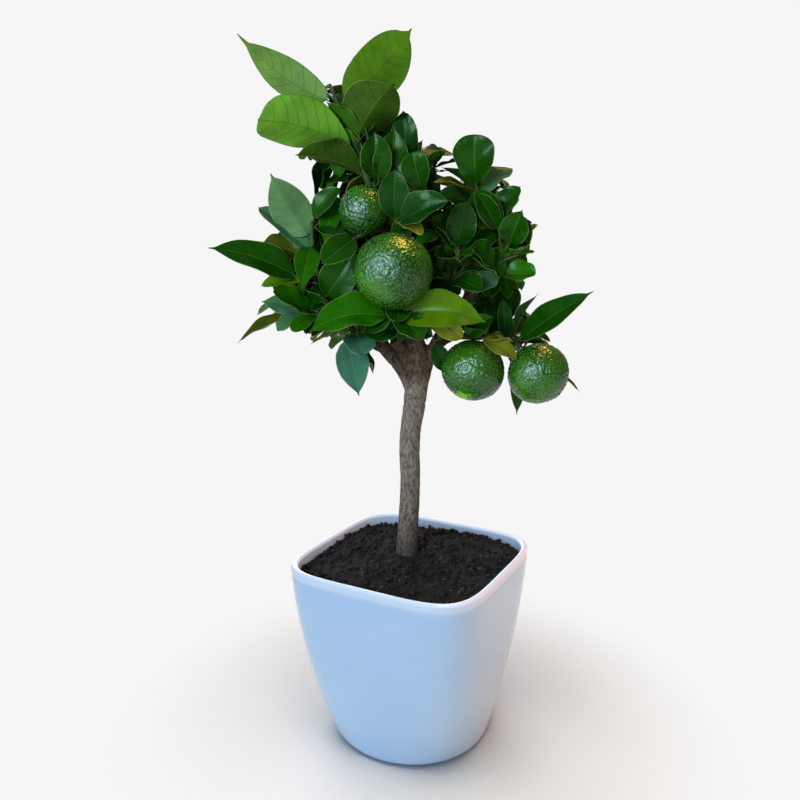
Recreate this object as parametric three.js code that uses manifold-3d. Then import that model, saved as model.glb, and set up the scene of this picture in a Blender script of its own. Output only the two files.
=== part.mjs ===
// A rangpur lime tree in its pot: a short bare trunk that forks into boughs, a crown of leathery
// leaves with green fruit among them, and a glazed pot that turns from a rounded square at its rim
// to a circle at its foot.
//
// Millimetres, +Z up. The origin is the middle of the pot's flat underside, and the tree's front,
// with the largest fruit, faces -Y. The whole tree is about 510 mm high.
import * as THREE from 'three';
import { mergeVertices } from 'three/addons/utils/BufferGeometryUtils.js';
import Module from 'manifold-3d';

const wasm = await Module();
wasm.setup();

// Driving dimensions of the pot and its soil
const POT_WIDTH = 150; // across the rim's flats
const POT_HEIGHT = 142;
const POT_FOOT_RADIUS = 58; // where the wall's curve would meet the ground
const POT_BULGE = 1.85; // how soon the wall turns upright, where 1 is a straight cone
const POT_CORNERS = 5; // exponent of the rim's rounded square, where 2 is a circle
const POT_TURN = -28.5; // degrees, how far the pot stands turned from the tree's front
const WALL = 4.6;
const FLOOR = 7;
const FOOT_ROUND = 7; // radius between the wall and the underside
const FLOOR_ROUND = 3; // between the wall and the floor inside
const LIP_HEIGHT = 7; // of the roll round the rim
const LIP_GROOVE = 0.8; // depth of the line under the roll
const LIP_ROUND = 1.6; // along the roll's edges
const WALL_HEIGHTS = [22, 42, 64, 88, 112]; // rings that follow the wall's curve
const SOIL_LEVEL = 138; // the flat place that the trunk stands on
const SOIL_PLATEAU = 34; // radius of that flat place
const SOIL_EDGE = 134.5; // where the soil meets the pot
const SOIL_SHOULDER = [0.4, 0.6]; // shares of the way in and up from that edge to the flat place
const SOIL_GAP = 0.8; // from the soil to the wall, whose facets turn the other way
const ROUND = 40; // facets round the pot
const CLEARANCE = 0.3; // between touching pieces
const WELD = 1e-4; // corners nearer than this are one

// Driving dimensions of the trunk. It leans a little, and widens to its foot and to its fork.
const TRUNK_PATH = [
  [-4, 10, 130], [-4, 10, 150], [-2, 10, 190], [-2.4, 10, 228], [1, 10, 255], [4, 10, 284],
];
const TRUNK_RADIUS = 7.4;
const TRUNK_FLARE = 1.6; // extra radius at the soil
const TRUNK_HEAD = 1.6; // extra radius under the fork

// Driving dimensions of leaves and twigs
const LEAF_THICK = 1.4; // from the keel under the midrib to the blade's upper face
const LEAF_ARCH = 0.06; // rise of the blade's middle over the line from foot to tip
const LEAF_OUTLINE = [[0.3, 0.92], [0.7, 0.88]]; // [share of length, share of width]
const LEAF_WIDTH = [0.4, 0.5]; // least and greatest width for a length of 1
const LEAF_SPACING = 5; // along a twig
const LEAF_TRIES = 4; // turns that are tried at one place on a twig
const LEAF_TURN = 137.5; // degrees round the twig from one leaf to the next
const TURN_JITTER = 20; // more or less than that
const LEAF_SPREAD = [45, 75]; // degrees from the twig, and less at the twig's tip
const TIP_SPREAD = [5, 30];
const LEAF_ROLL = [-35, 35]; // degrees about the midrib from lying level
const ROOM_THICK = 2.4; // the space that a leaf needs to itself
const ROOM_OUTLINE = [[0.3, 0.9], [0.75, 0.8]];
const ROOM_START = 0.2; // share of the leaf's length at which that space begins
const ROOM_LENGTH = 0.84;
const ROOM_WIDTH = 1.1;
const TWIG_RADIUS = 1.3;
const TWIG_ROOM = 1; // space that a twig needs all round
const TWIG_RISE = 0.08; // of its middle, for a twig of length 1
const TWIG_START = 0.25; // share of the stem before its first twig
const TWIG_HEIGHTS = [-0.75, 0.95]; // where twigs end, from the bottom of their space at -1 to its top at 1
const TWIG_STAGGER = [0.2, 0.8]; // where a twig's height lies within its share of that range
const HEADING_JITTER = 10; // degrees more or less than the twig's turn
const TWIG_REACH = [0.36, 0.62]; // where twigs end, from the middle of their space to its edge
const STEM_LEAD = 5; // how far a stem runs straight on from its bough's tip
const FRUIT_FLATNESS = 0.95; // a fruit's size from stalk to tip over its size across

// Boughs: name, points that the limb follows, radius at its foot and at its tip. Each starts inside
// the limb that bears it.
const BOUGHS = [
  ['bough_leader', [[4, 10, 276], [0, 9, 300], [-8, 7, 335], [-18, 5, 372], [-28, 2, 402]], 6.4, 3.2],
  ['bough_left', [[1, 10, 266], [-10, 6, 284], [-22, 1, 298], [-40, -3, 318], [-55, -5, 338]], 5.4, 3],
  ['bough_right', [[5, 10, 274], [16, 9, 299], [32, 5, 325], [52, 0, 348]], 5.4, 2.8],
  ['bough_back', [[4, 12, 274], [4, 26, 300], [4, 50, 330]], 4.8, 2.6],
  ['bough_back_left', [[-14, 5, 288], [-28, 24, 310], [-44, 42, 335]], 3.6, 2.4],
  ['bough_back_right', [[18, 8, 303], [34, 28, 322], [50, 44, 345]], 3.6, 2.4],
  ['bough_back_top', [[-10, 7, 342], [-8, 22, 368], [-8, 36, 395]], 3, 2.2],
  ['bough_crown', [[-11, 6, 350], [-4, 5, 372], [2, 4, 394]], 3, 2.2],
  ['bough_front', [[-4, 8, 318], [-5, 0, 326], [-6, -6, 338]], 3, 2.2],
  ['bough_centre', [[20, 8, 307], [24, 0, 321], [26, -9, 338]], 2.8, 2.1],
  ['bough_right_top', [[38, 4, 332], [44, 3, 358], [46, 0, 385]], 2.8, 2],
  ['bough_right_low', [[14, 9, 297], [30, 8, 305], [50, 5, 305]], 3.4, 2.4],
  ['bough_left_low', [[-32, -1, 309], [-44, -6, 312], [-54, -8, 318]], 3, 2.2],
  ['bough_low', [[-20, 2, 296], [-28, -6, 300], [-34, -10, 306]], 2.6, 2],
];

// Masses of foliage. Each grows from its bough's tip along its stem and keeps to an ellipsoid, its
// space. Leaves, and twigs with leaves, that the tree shows from its front are named by their
// places: [share of the stem or twig, heading, rise, length, width, roll], with the heading round
// from +X, the rise above level and the roll about the midrib, in degrees. Twigs that follow from
// the seed then fill the sector of headings given, with leaves of the lengths given.
const MASSES = [
  {
    name: 'foliage_top', bough: 'bough_leader', centre: [-60, 8, 448], reach: [58, 56, 50],
    stem: [[-37, -3, 430], [-48, -7, 456], [-56, -8, 474]],
    leaves: [
      [0.85, -176, 34, 76, 29, 65], [0.82, 0, 45, 68, 34, -70], [0.4, -154, 14, 72, 37, 50],
      [0.5, -50, 38, 54, 35, -30], [0.2, -150, 13, 54, 24, 20], [1, 94, 30, 56, 27, 0],
    ],
    seed: 11, twigs: 3, sector: [80, 200], lengths: [34, 50],
  },
  {
    name: 'foliage_crown', bough: 'bough_crown', centre: [0, 6, 412], reach: [34, 42, 38],
    stem: [[0, 3, 408], [-2, 2, 425]],
    leaves: [[0.9, -134, 77, 38, 19, -150], [0.6, 162, 69, 42, 14, 0]],
    shoots: [
      { from: 0.3, to: [-20, -14, 409], leaves: [[1, -57, 72, 39, 24, 150]] },
      { from: 0.7, to: [13, 0, 422], leaves: [[1, 0, 12, 24, 12, 0]] },
      { from: 0.2, to: [6, -20, 404], leaves: [[1, -132, 65, 28, 19, -150]] },
    ],
    seed: 22, twigs: 4, sector: [-60, 160], lengths: [28, 40],
  },
  {
    name: 'foliage_right_top', bough: 'bough_right_top', centre: [46, 2, 398], reach: [34, 42, 36],
    stem: [[46, -2, 398], [42, -8, 409]],
    leaves: [
      [0.95, -106, 67, 36, 28, 180], [0.7, 20, 40, 32, 18, 30], [0.5, 38, 26, 30, 16, 0],
      [0.75, 178, 35, 32, 13, 10], [0.55, -154, 17, 40, 15, -20], [0.35, -135, 12, 44, 19, -30],
    ],
    shoots: [
      { from: 0.1, to: [57, -15, 382], leaves: [[1, -159, 49, 31, 20, -120], [0.7, -10, 55, 30, 17, 60]] },
    ],
    seed: 33, twigs: 5, sector: [-150, 170], lengths: [26, 36],
  },
  {
    name: 'foliage_right', bough: 'bough_right', centre: [60, 4, 360], reach: [26, 42, 34],
    stem: [[60, -4, 358], [68, -4, 370]],
    shoots: [
      { from: 0.6, to: [60, -12, 372], leaves: [[1, 40, 40, 28, 16, 20]] },
      {
        from: 0.9, to: [68, -16, 364],
        leaves: [[1, -61, 65, 27, 17, 140], [0.9, 20, 44, 26, 14, 0], [0.8, -75, 4, 24, 14, 20]],
      },
      {
        from: 0.2, to: [58, -18, 350],
        leaves: [[1, -138, 20, 33, 24, -50], [0.9, -11, -1, 25, 17, 50], [0.8, -139, -26, 28, 15, -40]],
      },
    ],
    seed: 44, twigs: 4, sector: [-70, 160], lengths: [24, 34],
  },
  {
    name: 'foliage_centre', bough: 'bough_centre', centre: [28, -18, 370], reach: [36, 42, 44],
    stem: [[28, -14, 354], [30, -18, 368]],
    leaves: [
      [1, -158, 46, 30, 16, -60], [1, -76, 65, 34, 20, 160], [0.9, 160, 60, 34, 17, -40],
      [0.8, 10, 30, 32, 18, 50], [0.3, -60, -10, 32, 18, 30], [0.5, -120, 20, 32, 18, -30],
    ],
    seed: 55, twigs: 4, sector: [-100, 120], lengths: [26, 36],
  },
  {
    name: 'foliage_fruit_pair', bough: 'bough_right_low', centre: [74, 22, 300], reach: [34, 32, 32],
    stem: [[62, 3, 304], [72, 0, 301]],
    leaves: [
      [0.15, -127, 18, 32, 18, -30], [0.95, -128, 12, 32, 12, -20], [0.75, -116, 71, 33, 14, -150],
      [0.9, -29, 62, 40, 15, 0], [1, -26, 36, 67, 27, 55], [0.3, 73, 74, 25, 14, 0],
    ],
    shoots: [{ from: 0.9, to: [84, 18, 292], leaves: [[1, 3, -36, 52, 16, 20], [0.9, 108, -75, 52, 16, 0]] }],
    fruit: [
      { from: 0.1, at: [42, -9, 283], radius: 22.6 },
      { from: 0.9, at: [88.4, -9, 281], radius: 22.3 },
    ],
    seed: 66, twigs: 4, sector: [40, 150], lengths: [26, 40],
  },
  {
    name: 'foliage_front', bough: 'bough_front', centre: [-12, -38, 350], reach: [74, 46, 62],
    stem: [[-8, -8, 352], [-10, -9, 372], [-14, -12, 392]],
    shoots: [
      {
        from: 0.95, to: [-12, -36, 384],
        leaves: [[0.85, -94, 70, 34, 20, 180], [1, -30, 20, 41, 21, 70], [0.7, -49, -20, 28, 11, 30]],
      },
      { from: 0.75, to: [-38, -38, 376], leaves: [[1, -141, -31, 32, 17, -40]] },
      {
        from: 0.02, to: [-14, -34, 322],
        leaves: [
          [0.97, -161, -6, 58, 24, -50], [1, -15, 0, 62, 21, 50], [0.9, -50, -25, 32, 20, 30],
          [0.8, -135, -28, 26, 15, -10], [0.7, -15, -20, 44, 16, 20], [0.6, -90, -20, 26, 18, 0],
        ],
      },
    ],
    fruit: [
      { from: 0.9, at: [-14, -43, 354], radius: 26 },
      { from: 1, at: [-34, -24, 393], radius: 17 },
    ],
    seed: 77, twigs: 3, sector: [-160, 20], lengths: [26, 36],
  },
  {
    name: 'foliage_left', bough: 'bough_left', centre: [-74, 0, 366], reach: [46, 48, 48],
    stem: [[-66, -9, 352], [-70, -8, 370], [-70, -5, 386]],
    leaves: [
      [0.55, 156, 38, 56, 18, -30], [0.5, 154, 17, 46, 20, 20], [0.75, -170, 59, 52, 26, -60],
      [0.9, -117, 38, 34, 18, 150], [0.7, -97, -40, 42, 17, -20], [1, -9, 49, 30, 16, 60],
    ],
    shoots: [
      { from: 0.25, to: [-76, -18, 347], leaves: [[1, -167, 20, 66, 24, -55], [0.9, -168, -6, 30, 13, 0]] },
    ],
    seed: 88, twigs: 4, sector: [20, 190], lengths: [32, 46],
  },
  {
    name: 'foliage_left_low', bough: 'bough_left_low', centre: [-76, -6, 325], reach: [44, 44, 30],
    stem: [[-66, -14, 323], [-80, -12, 323]],
    leaves: [
      [0.6, -134, 22, 42, 18, -60], [0.95, 177, -23, 50, 14, -30], [0.8, -134, -20, 28, 15, -20],
      [0.45, -126, -16, 30, 13, -20], [0.85, 162, 15, 35, 17, 10], [0.3, -126, -25, 24, 15, 0],
    ],
    shoots: [{ from: 0.2, to: [-60, -20, 330], leaves: [[1, -8, 58, 42, 22, 70]] }],
    seed: 99, twigs: 3, sector: [40, 200], lengths: [24, 36],
  },
  {
    name: 'foliage_low', bough: 'bough_low', centre: [-40, -6, 304], reach: [34, 40, 26],
    stem: [[-40, -13, 310], [-46, -16, 309]],
    leaves: [[1, -65, -62, 44, 23, 10], [0.7, -77, -14, 34, 22, 0], [0.5, 144, -29, 28, 16, 0]],
    seed: 110, twigs: 3, sector: [60, 180], lengths: [22, 32],
  },
  {
    name: 'foliage_back_left', bough: 'bough_back_left', centre: [-52, 58, 352], reach: [52, 54, 62],
    stem: [[-52, 50, 352], [-56, 54, 374]],
    seed: 121, twigs: 7, sector: [0, 360], lengths: [34, 54],
  },
  {
    name: 'foliage_back', bough: 'bough_back', centre: [4, 78, 346], reach: [56, 56, 66],
    stem: [[4, 60, 348], [2, 66, 370]],
    fruit: [{ from: 0.6, at: [14, 90, 332], radius: 23 }],
    seed: 132, twigs: 7, sector: [0, 360], lengths: [34, 54],
  },
  {
    name: 'foliage_back_right', bough: 'bough_back_right', centre: [50, 58, 360], reach: [46, 54, 62],
    stem: [[58, 52, 362], [62, 54, 384]],
    fruit: [{ from: 0.5, at: [62, 80, 338], radius: 19 }],
    seed: 143, twigs: 7, sector: [0, 360], lengths: [32, 50],
  },
  {
    name: 'foliage_back_top', bough: 'bough_back_top', centre: [-24, 50, 420], reach: [52, 52, 46],
    stem: [[-10, 42, 412], [-14, 44, 430]],
    seed: 154, twigs: 6, sector: [0, 360], lengths: [34, 50],
  },
];

const finish = (color, roughness) => new THREE.MeshStandardMaterial({ color, roughness, metalness: 0 });
const GLAZE = finish(0xd9e4f0, 0.18);
const SOIL = finish(0x2a211c, 0.95);
const BARK = finish(0x6b6152, 0.85);
const LEAF = finish(0x2c5a1e, 0.35);

const radians = (degrees) => (degrees * Math.PI) / 180;
const mix = (a, b, share) => a + (b - a) * share;
const point = (numbers) => new THREE.Vector3(...numbers);
const smooth = (points) => new THREE.CatmullRomCurve3(points, false, 'catmullrom');

const tree = new THREE.Group();

function add(name, geometry, material) {
  const mesh = new THREE.Mesh(geometry, material);
  mesh.name = name;
  tree.add(mesh);
  return mesh;
}

// A closed geometry as a solid that can be cut and joined
function solidOf(geometry) {
  const bare = geometry.clone();
  bare.deleteAttribute('normal');
  bare.deleteAttribute('uv');
  const merged = mergeVertices(bare, WELD);
  return new wasm.Manifold(new wasm.Mesh({
    numProp: 3,
    vertProperties: new Float32Array(merged.attributes.position.array),
    triVerts: new Uint32Array(merged.index.array),
  }));
}

function geometryOf(solid) {
  const mesh = solid.getMesh();
  const geometry = new THREE.BufferGeometry();
  geometry.setAttribute('position', new THREE.BufferAttribute(mesh.vertProperties, 3));
  geometry.setIndex(new THREE.BufferAttribute(mesh.triVerts, 1));
  geometry.computeVertexNormals();
  return geometry;
}

// The largest body of a solid, without its loose scraps
function largest(solid) {
  return solid.decompose().sort((a, b) => b.volume() - a.volume())[0];
}

const touch = (a, b) => a.intersect(b).volume() > 0;

// Pot and soil

// Half the pot's width across its flats at a height
function potRadius(z) {
  return mix(POT_FOOT_RADIUS, POT_WIDTH / 2, 1 - (1 - z / POT_HEIGHT) ** POT_BULGE);
}

// A lathe whose round sections are pushed out towards a square, more so the higher they are
function squareLathe(profile) {
  const shape = new THREE.LatheGeometry(profile.map(([r, z]) => new THREE.Vector2(r, z)), ROUND);
  shape.rotateX(Math.PI / 2);
  const places = shape.attributes.position;
  for (let i = 0; i < places.count; i += 1) {
    const [x, y, z] = [places.getX(i), places.getY(i), places.getZ(i)];
    const angle = Math.atan2(y, x);
    const power = mix(2, POT_CORNERS, z / POT_HEIGHT);
    const sum = Math.abs(Math.cos(angle)) ** power + Math.abs(Math.sin(angle)) ** power;
    const push = sum ** (-1 / power);
    places.setXYZ(i, x * push, y * push, z);
  }
  return shape;
}

function makePot() {
  const outside = [[0, 0], [potRadius(0) - FOOT_ROUND, 0]];
  for (const share of [0.35, 0.7, 1]) {
    const angle = (share * Math.PI) / 2;
    const z = FOOT_ROUND * (1 - Math.cos(angle));
    outside.push([potRadius(z) - FOOT_ROUND * (1 - Math.sin(angle)), z]);
  }
  outside.push(...WALL_HEIGHTS.map((z) => [potRadius(z), z]));
  const underLip = POT_HEIGHT - LIP_HEIGHT;
  const lip = [
    [potRadius(underLip) - LIP_GROOVE, underLip],
    [potRadius(underLip), underLip + LIP_ROUND],
    [potRadius(POT_HEIGHT), POT_HEIGHT - LIP_ROUND],
    [potRadius(POT_HEIGHT) - LIP_ROUND, POT_HEIGHT],
    [potRadius(POT_HEIGHT) - WALL + LIP_ROUND, POT_HEIGHT],
    [potRadius(POT_HEIGHT) - WALL, POT_HEIGHT - LIP_ROUND],
  ];
  const inside = [SOIL_EDGE, ...WALL_HEIGHTS.toReversed()].map((z) => [potRadius(z) - WALL, z]);
  const floor = [[potRadius(FLOOR) - WALL - FLOOR_ROUND, FLOOR], [0, FLOOR]];
  const pot = add('pot', squareLathe([...outside, ...lip, ...inside, ...floor]), GLAZE);
  pot.rotation.z = radians(POT_TURN);
}

function makeSoil() {
  const gap = WALL + SOIL_GAP;
  const [inward, upward] = SOIL_SHOULDER;
  const profile = [
    [0, FLOOR + CLEARANCE],
    [potRadius(FLOOR) - gap - FLOOR_ROUND, FLOOR + CLEARANCE],
    ...[...WALL_HEIGHTS, SOIL_EDGE].map((z) => [potRadius(z) - gap, z]),
    [mix(potRadius(SOIL_EDGE), SOIL_PLATEAU, inward), mix(SOIL_EDGE, SOIL_LEVEL, upward)],
    [SOIL_PLATEAU, SOIL_LEVEL],
    [0, SOIL_LEVEL],
  ];
  const soil = add('soil', squareLathe(profile), SOIL);
  soil.rotation.z = radians(POT_TURN);
}

// Limbs

// A cylinder bent along a curve. radiusAt gives its radius at a share of the curve's length, and
// grow makes it that much larger all over.
function limb(curve, radiusAt, sides, steps, grow = 0) {
  const frames = curve.computeFrenetFrames(steps);
  const shape = new THREE.CylinderGeometry(1, 1, 1, sides, steps);
  const places = shape.attributes.position;
  for (let i = 0; i < places.count; i += 1) {
    const share = places.getY(i) + 0.5;
    const step = Math.round(share * steps);
    const radius = radiusAt(share) + grow;
    const place = curve.getPointAt(step / steps);
    place.addScaledVector(frames.normals[step], places.getX(i) * radius);
    place.addScaledVector(frames.binormals[step], -places.getZ(i) * radius);
    if (step === 0) place.addScaledVector(frames.tangents[0], -grow);
    if (step === steps) place.addScaledVector(frames.tangents[steps], grow);
    places.setXYZ(i, place.x, place.y, place.z);
  }
  return solidOf(shape);
}

const limbs = new Map(); // name to the curve that the limb follows
const seats = []; // each limb, larger by the clearance, to cut what meets it

function addLimb(name, path, radiusAt, sides, steps, cuts) {
  const curve = smooth(path.map(point));
  let solid = limb(curve, radiusAt, sides, steps);
  for (const cut of cuts) {
    solid = largest(solid.subtract(cut));
  }
  seats.push(limb(curve, radiusAt, sides, steps, CLEARANCE));
  limbs.set(name, { curve, tip: radiusAt(1) });
  add(name, geometryOf(solid), BARK);
}

function makeTrunk() {
  const ground = new THREE.BoxGeometry(POT_WIDTH, POT_WIDTH, POT_HEIGHT);
  ground.translate(0, 0, SOIL_LEVEL + CLEARANCE - POT_HEIGHT / 2);
  const radiusAt = (share) => TRUNK_RADIUS + TRUNK_FLARE * (1 - share) ** 8 + TRUNK_HEAD * share ** 4;
  addLimb('trunk', TRUNK_PATH, radiusAt, 12, 9, [solidOf(ground)]);
}

function makeBoughs() {
  for (const [name, path, foot, tip] of BOUGHS) {
    const radiusAt = (share) => mix(foot, tip, share);
    addLimb(name, path, radiusAt, 7, 2 * path.length - 1, [...seats]);
  }
}

// Leaves

function direction(heading, rise) {
  const [turn, lift] = [radians(heading), radians(rise)];
  return point([Math.cos(lift) * Math.cos(turn), Math.cos(lift) * Math.sin(turn), Math.sin(lift)]);
}

// A leaf's place and size, with its own axes: along its midrib, across it and up from its face
function leafAt(foot, along, length, width, roll) {
  const across = point([0, 0, 1]).cross(along).normalize();
  const up = along.clone().cross(across);
  across.applyAxisAngle(along, radians(roll));
  up.applyAxisAngle(along, radians(roll));
  return { foot, along, across, up, length, width };
}

function midrib(leaf, share) {
  const rise = LEAF_ARCH * leaf.length * 4 * share * (1 - share);
  return leaf.foot.clone().addScaledVector(leaf.along, leaf.length * share).addScaledVector(leaf.up, rise);
}

// The corners of a blade: its foot, three for each ring of the outline, at both edges and at the
// keel under the midrib, and its tip
function bladeCorners(leaf, outline, thick) {
  const rings = outline.map(([share, wide]) => {
    const half = (wide * leaf.width) / 2;
    return [[half, 0], [-half, 0], [0, -thick]].map(([side, height]) => (
      midrib(leaf, share).addScaledVector(leaf.across, side).addScaledVector(leaf.up, height)
    ));
  });
  return [midrib(leaf, 0), ...rings.flat(), midrib(leaf, 1)];
}

function blade(leaf, outline = LEAF_OUTLINE, thick = LEAF_THICK) {
  const corners = bladeCorners(leaf, outline, thick);
  const tip = corners.length - 1;
  const faces = [];
  for (let side = 0; side < 3; side += 1) {
    const next = (side + 1) % 3;
    faces.push(0, 1 + next, 1 + side);
    for (let ring = 1; ring < tip - 3; ring += 3) {
      faces.push(ring + side, ring + next, ring + 3 + side);
      faces.push(ring + next, ring + 3 + next, ring + 3 + side);
    }
    faces.push(tip, tip - 3 + side, tip - 3 + next);
  }
  const geometry = new THREE.BufferGeometry().setFromPoints(corners);
  geometry.setIndex(faces);
  return solidOf(geometry);
}

// The space that a leaf needs to itself, from a little past its foot to past its tip
function leafRoom(leaf) {
  const foot = leaf.foot.clone().addScaledVector(leaf.along, ROOM_START * leaf.length);
  foot.addScaledVector(leaf.up, ROOM_THICK / 3);
  const room = { ...leaf, foot, length: ROOM_LENGTH * leaf.length, width: ROOM_WIDTH * leaf.width };
  return blade(room, ROOM_OUTLINE, ROOM_THICK);
}

// Masses of foliage

const masses = [];
let limbRoom; // all limbs as one solid, larger by the clearance

// Whether a solid of one mass is clear of every limb and every other mass
function isFree(room, mass) {
  return !touch(room, limbRoom) && masses.every((other) => other === mass || !touch(room, other.body));
}

// Whether a leaf keeps to its mass's ellipsoid
function isInside(leaf, mass) {
  return bladeCorners(leaf, LEAF_OUTLINE, LEAF_THICK).every((corner) => (
    corner.sub(point(mass.centre)).divide(point(mass.reach)).length() < 1
  ));
}

// A twig's curve, which rises a little before it reaches its end
function twigCurve(foot, end) {
  const middle = foot.clone().lerp(end, 0.5);
  middle.z += TWIG_RISE * foot.distanceTo(end);
  return smooth([foot, middle, end]);
}

const twigSolid = (curve, grow) => limb(curve, () => TWIG_RADIUS, 3, 2, grow);

// Adds the leaves of a list of places along a stem or twig, where they have room
function addShownLeaves(mass, curve, rows) {
  for (const [share, heading, rise, length, width, roll] of rows) {
    const leaf = leafAt(curve.getPointAt(share), direction(heading, rise), length, width, roll);
    if (isFree(leafRoom(leaf), mass)) {
      mass.body = mass.body.add(blade(leaf));
    }
  }
}

// A fruit, a little flattened between its stalk and its tip, on a stalk from the stem
function addFruit(mass, { from, at, radius }) {
  const foot = mass.curve.getPointAt(from);
  const shape = new THREE.IcosahedronGeometry(radius, 2);
  shape.scale(1, 1, FRUIT_FLATNESS);
  const stalkSide = foot.clone().sub(point(at)).normalize();
  shape.applyQuaternion(new THREE.Quaternion().setFromUnitVectors(point([0, 0, 1]), stalkSide));
  shape.translate(...at);
  const stalk = limb(smooth([foot, point(at)]), () => TWIG_RADIUS, 5, 2);
  mass.body = mass.body.add(stalk).add(solidOf(shape));
}

// A mass's stem, which carries on from its bough's tip, with the fruit, twigs and leaves that show
function startMass(plan) {
  const bough = limbs.get(plan.bough);
  const tip = bough.curve.getPointAt(1);
  const onward = bough.curve.getTangentAt(1);
  const lead = [CLEARANCE, STEM_LEAD].map((gap) => tip.clone().addScaledVector(onward, gap));
  const curve = smooth([...lead, ...plan.stem.map(point)]);
  const body = limb(curve, (share) => mix(bough.tip, TWIG_RADIUS, share), 5, 6);
  const mass = { ...plan, curve, body };
  masses.push(mass);
  for (const fruit of plan.fruit ?? []) {
    addFruit(mass, fruit);
  }
  addShownLeaves(mass, curve, plan.leaves ?? []);
  for (const shoot of plan.shoots ?? []) {
    const twig = twigCurve(curve.getPointAt(shoot.from), point(shoot.to));
    mass.body = mass.body.add(twigSolid(twig));
    addShownLeaves(mass, twig, shoot.leaves);
  }
}

// Numbers between two limits, drawn in an order that follows from a seed
function seeded(seed) {
  let state = seed;
  return (low, high) => {
    state = (state + 0x6d2b79f5) | 0;
    let bits = Math.imul(state ^ (state >>> 15), 1 | state);
    bits = (bits + Math.imul(bits ^ (bits >>> 7), 61 | bits)) ^ bits;
    return mix(low, high, ((bits ^ (bits >>> 14)) >>> 0) / 2 ** 32);
  };
}

// One leaf of a twig, set round it by the turn
function drawLeaf(twig, share, turn, lengths, draw) {
  const tangent = twig.getTangentAt(share);
  const side = point([0, 0, 1]).cross(tangent).normalize();
  const outward = side.applyAxisAngle(tangent, radians(turn + draw(-TURN_JITTER, TURN_JITTER)));
  const spread = radians(draw(...(share === 1 ? TIP_SPREAD : LEAF_SPREAD)));
  const along = tangent.clone().multiplyScalar(Math.cos(spread)).addScaledVector(outward, Math.sin(spread));
  const length = draw(...lengths);
  const width = length * draw(...LEAF_WIDTH);
  return leafAt(twig.getPointAt(share), along, length, width, draw(...LEAF_ROLL));
}

// One twig of a mass with its leaves. Twigs end spread over the sector, from low to high, and each
// draws from a seed of its own, so that a leaf that is skipped changes no other.
function growTwig(mass, index) {
  const draw = seeded(100 * mass.seed + index);
  const [first, last] = mass.sector;
  const heading = first + ((index * LEAF_TURN) % (last - first)) + draw(-HEADING_JITTER, HEADING_JITTER);
  const height = mix(...TWIG_HEIGHTS, (index + draw(...TWIG_STAGGER)) / mass.twigs);
  const out = direction(heading, (180 / Math.PI) * Math.asin(height));
  const end = out.multiply(point(mass.reach)).multiplyScalar(draw(...TWIG_REACH)).add(point(mass.centre));
  const foot = mass.curve.getPointAt(mix(TWIG_START, 1, (index + 1) / mass.twigs));
  const twig = twigCurve(foot, end);
  const room = twigSolid(twig, TWIG_ROOM);
  const hitsFruit = (mass.fruit ?? []).some(({ at, radius }) => (
    twig.getPoints(8).some((place) => place.distanceTo(point(at)) < radius + TWIG_RADIUS)
  ));
  if (hitsFruit || !isFree(room, mass)) {
    return;
  }
  const length = twig.getLength();
  let branch = twigSolid(twig);
  let kept = 0;
  for (let place = 0; length - place * LEAF_SPACING > LEAF_SPACING; place += 1) {
    const share = 1 - (place * LEAF_SPACING) / length;
    for (let turn = 0; turn < LEAF_TRIES; turn += 1) {
      const leaf = drawLeaf(twig, share, (place + turn) * LEAF_TURN, mass.lengths, draw);
      const space = leafRoom(leaf);
      if (isInside(leaf, mass) && isFree(space, mass) && !touch(space, mass.body.add(branch))) {
        branch = branch.add(blade(leaf));
        kept += 1;
        break;
      }
    }
  }
  if (kept > 0) {
    mass.body = mass.body.add(branch);
  }
}

function makeFoliage() {
  limbRoom = seats.reduce((all, seat) => all.add(seat));
  for (const plan of MASSES) {
    startMass(plan);
  }
  for (const mass of masses) {
    for (let index = 0; index < mass.twigs; index += 1) {
      growTwig(mass, index);
    }
    add(mass.name, geometryOf(largest(mass.body)), LEAF);
  }
}

makePot();
makeSoil();
makeTrunk();
makeBoughs();
makeFoliage();

export default tree;
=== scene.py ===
# A rangpur lime tree in a white glazed pot: a bare trunk, forking boughs and a crown of leathery
# leaves with green fruit among them, on a pale table in soft window light. Metres, +Z up. Sizes
# are written in millimetres and turned to metres where a mesh is made.
import math
import random

import bpy
import bmesh
import numpy as np
from mathutils import Euler, Matrix, Vector, kdtree, noise


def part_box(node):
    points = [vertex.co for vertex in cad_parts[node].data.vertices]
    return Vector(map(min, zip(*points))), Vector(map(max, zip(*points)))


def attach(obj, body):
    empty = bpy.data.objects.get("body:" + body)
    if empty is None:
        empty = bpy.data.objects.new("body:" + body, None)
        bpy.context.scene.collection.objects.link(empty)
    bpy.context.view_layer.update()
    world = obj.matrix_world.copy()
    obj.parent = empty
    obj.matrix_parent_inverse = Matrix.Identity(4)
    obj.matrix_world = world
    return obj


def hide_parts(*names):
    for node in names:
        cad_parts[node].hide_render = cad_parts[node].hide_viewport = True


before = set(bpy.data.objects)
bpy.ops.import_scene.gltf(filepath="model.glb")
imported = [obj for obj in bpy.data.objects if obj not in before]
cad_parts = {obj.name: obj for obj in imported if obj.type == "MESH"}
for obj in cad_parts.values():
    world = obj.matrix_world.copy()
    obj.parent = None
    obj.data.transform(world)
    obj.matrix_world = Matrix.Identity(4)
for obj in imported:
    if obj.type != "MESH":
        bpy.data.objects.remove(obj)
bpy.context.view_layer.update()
scene = bpy.context.scene
MM = 0.001

# The table and its light. The tree stands on a matt white table that runs on into an empty white
# room. A window in front gives cool daylight, a warm lamp hangs above, and a far window behind.
TABLE_WHITE = "#F6F6F6"
TABLE_RADIUS = 1500
SHADE_REACH = (130, 270)  # how far from the pot's middle the table still takes its shadow
CAMERA_PLACE = (-9.7, -569, 378)
CAMERA_TILT = 11.745  # degrees below level
LENS = 36


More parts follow.
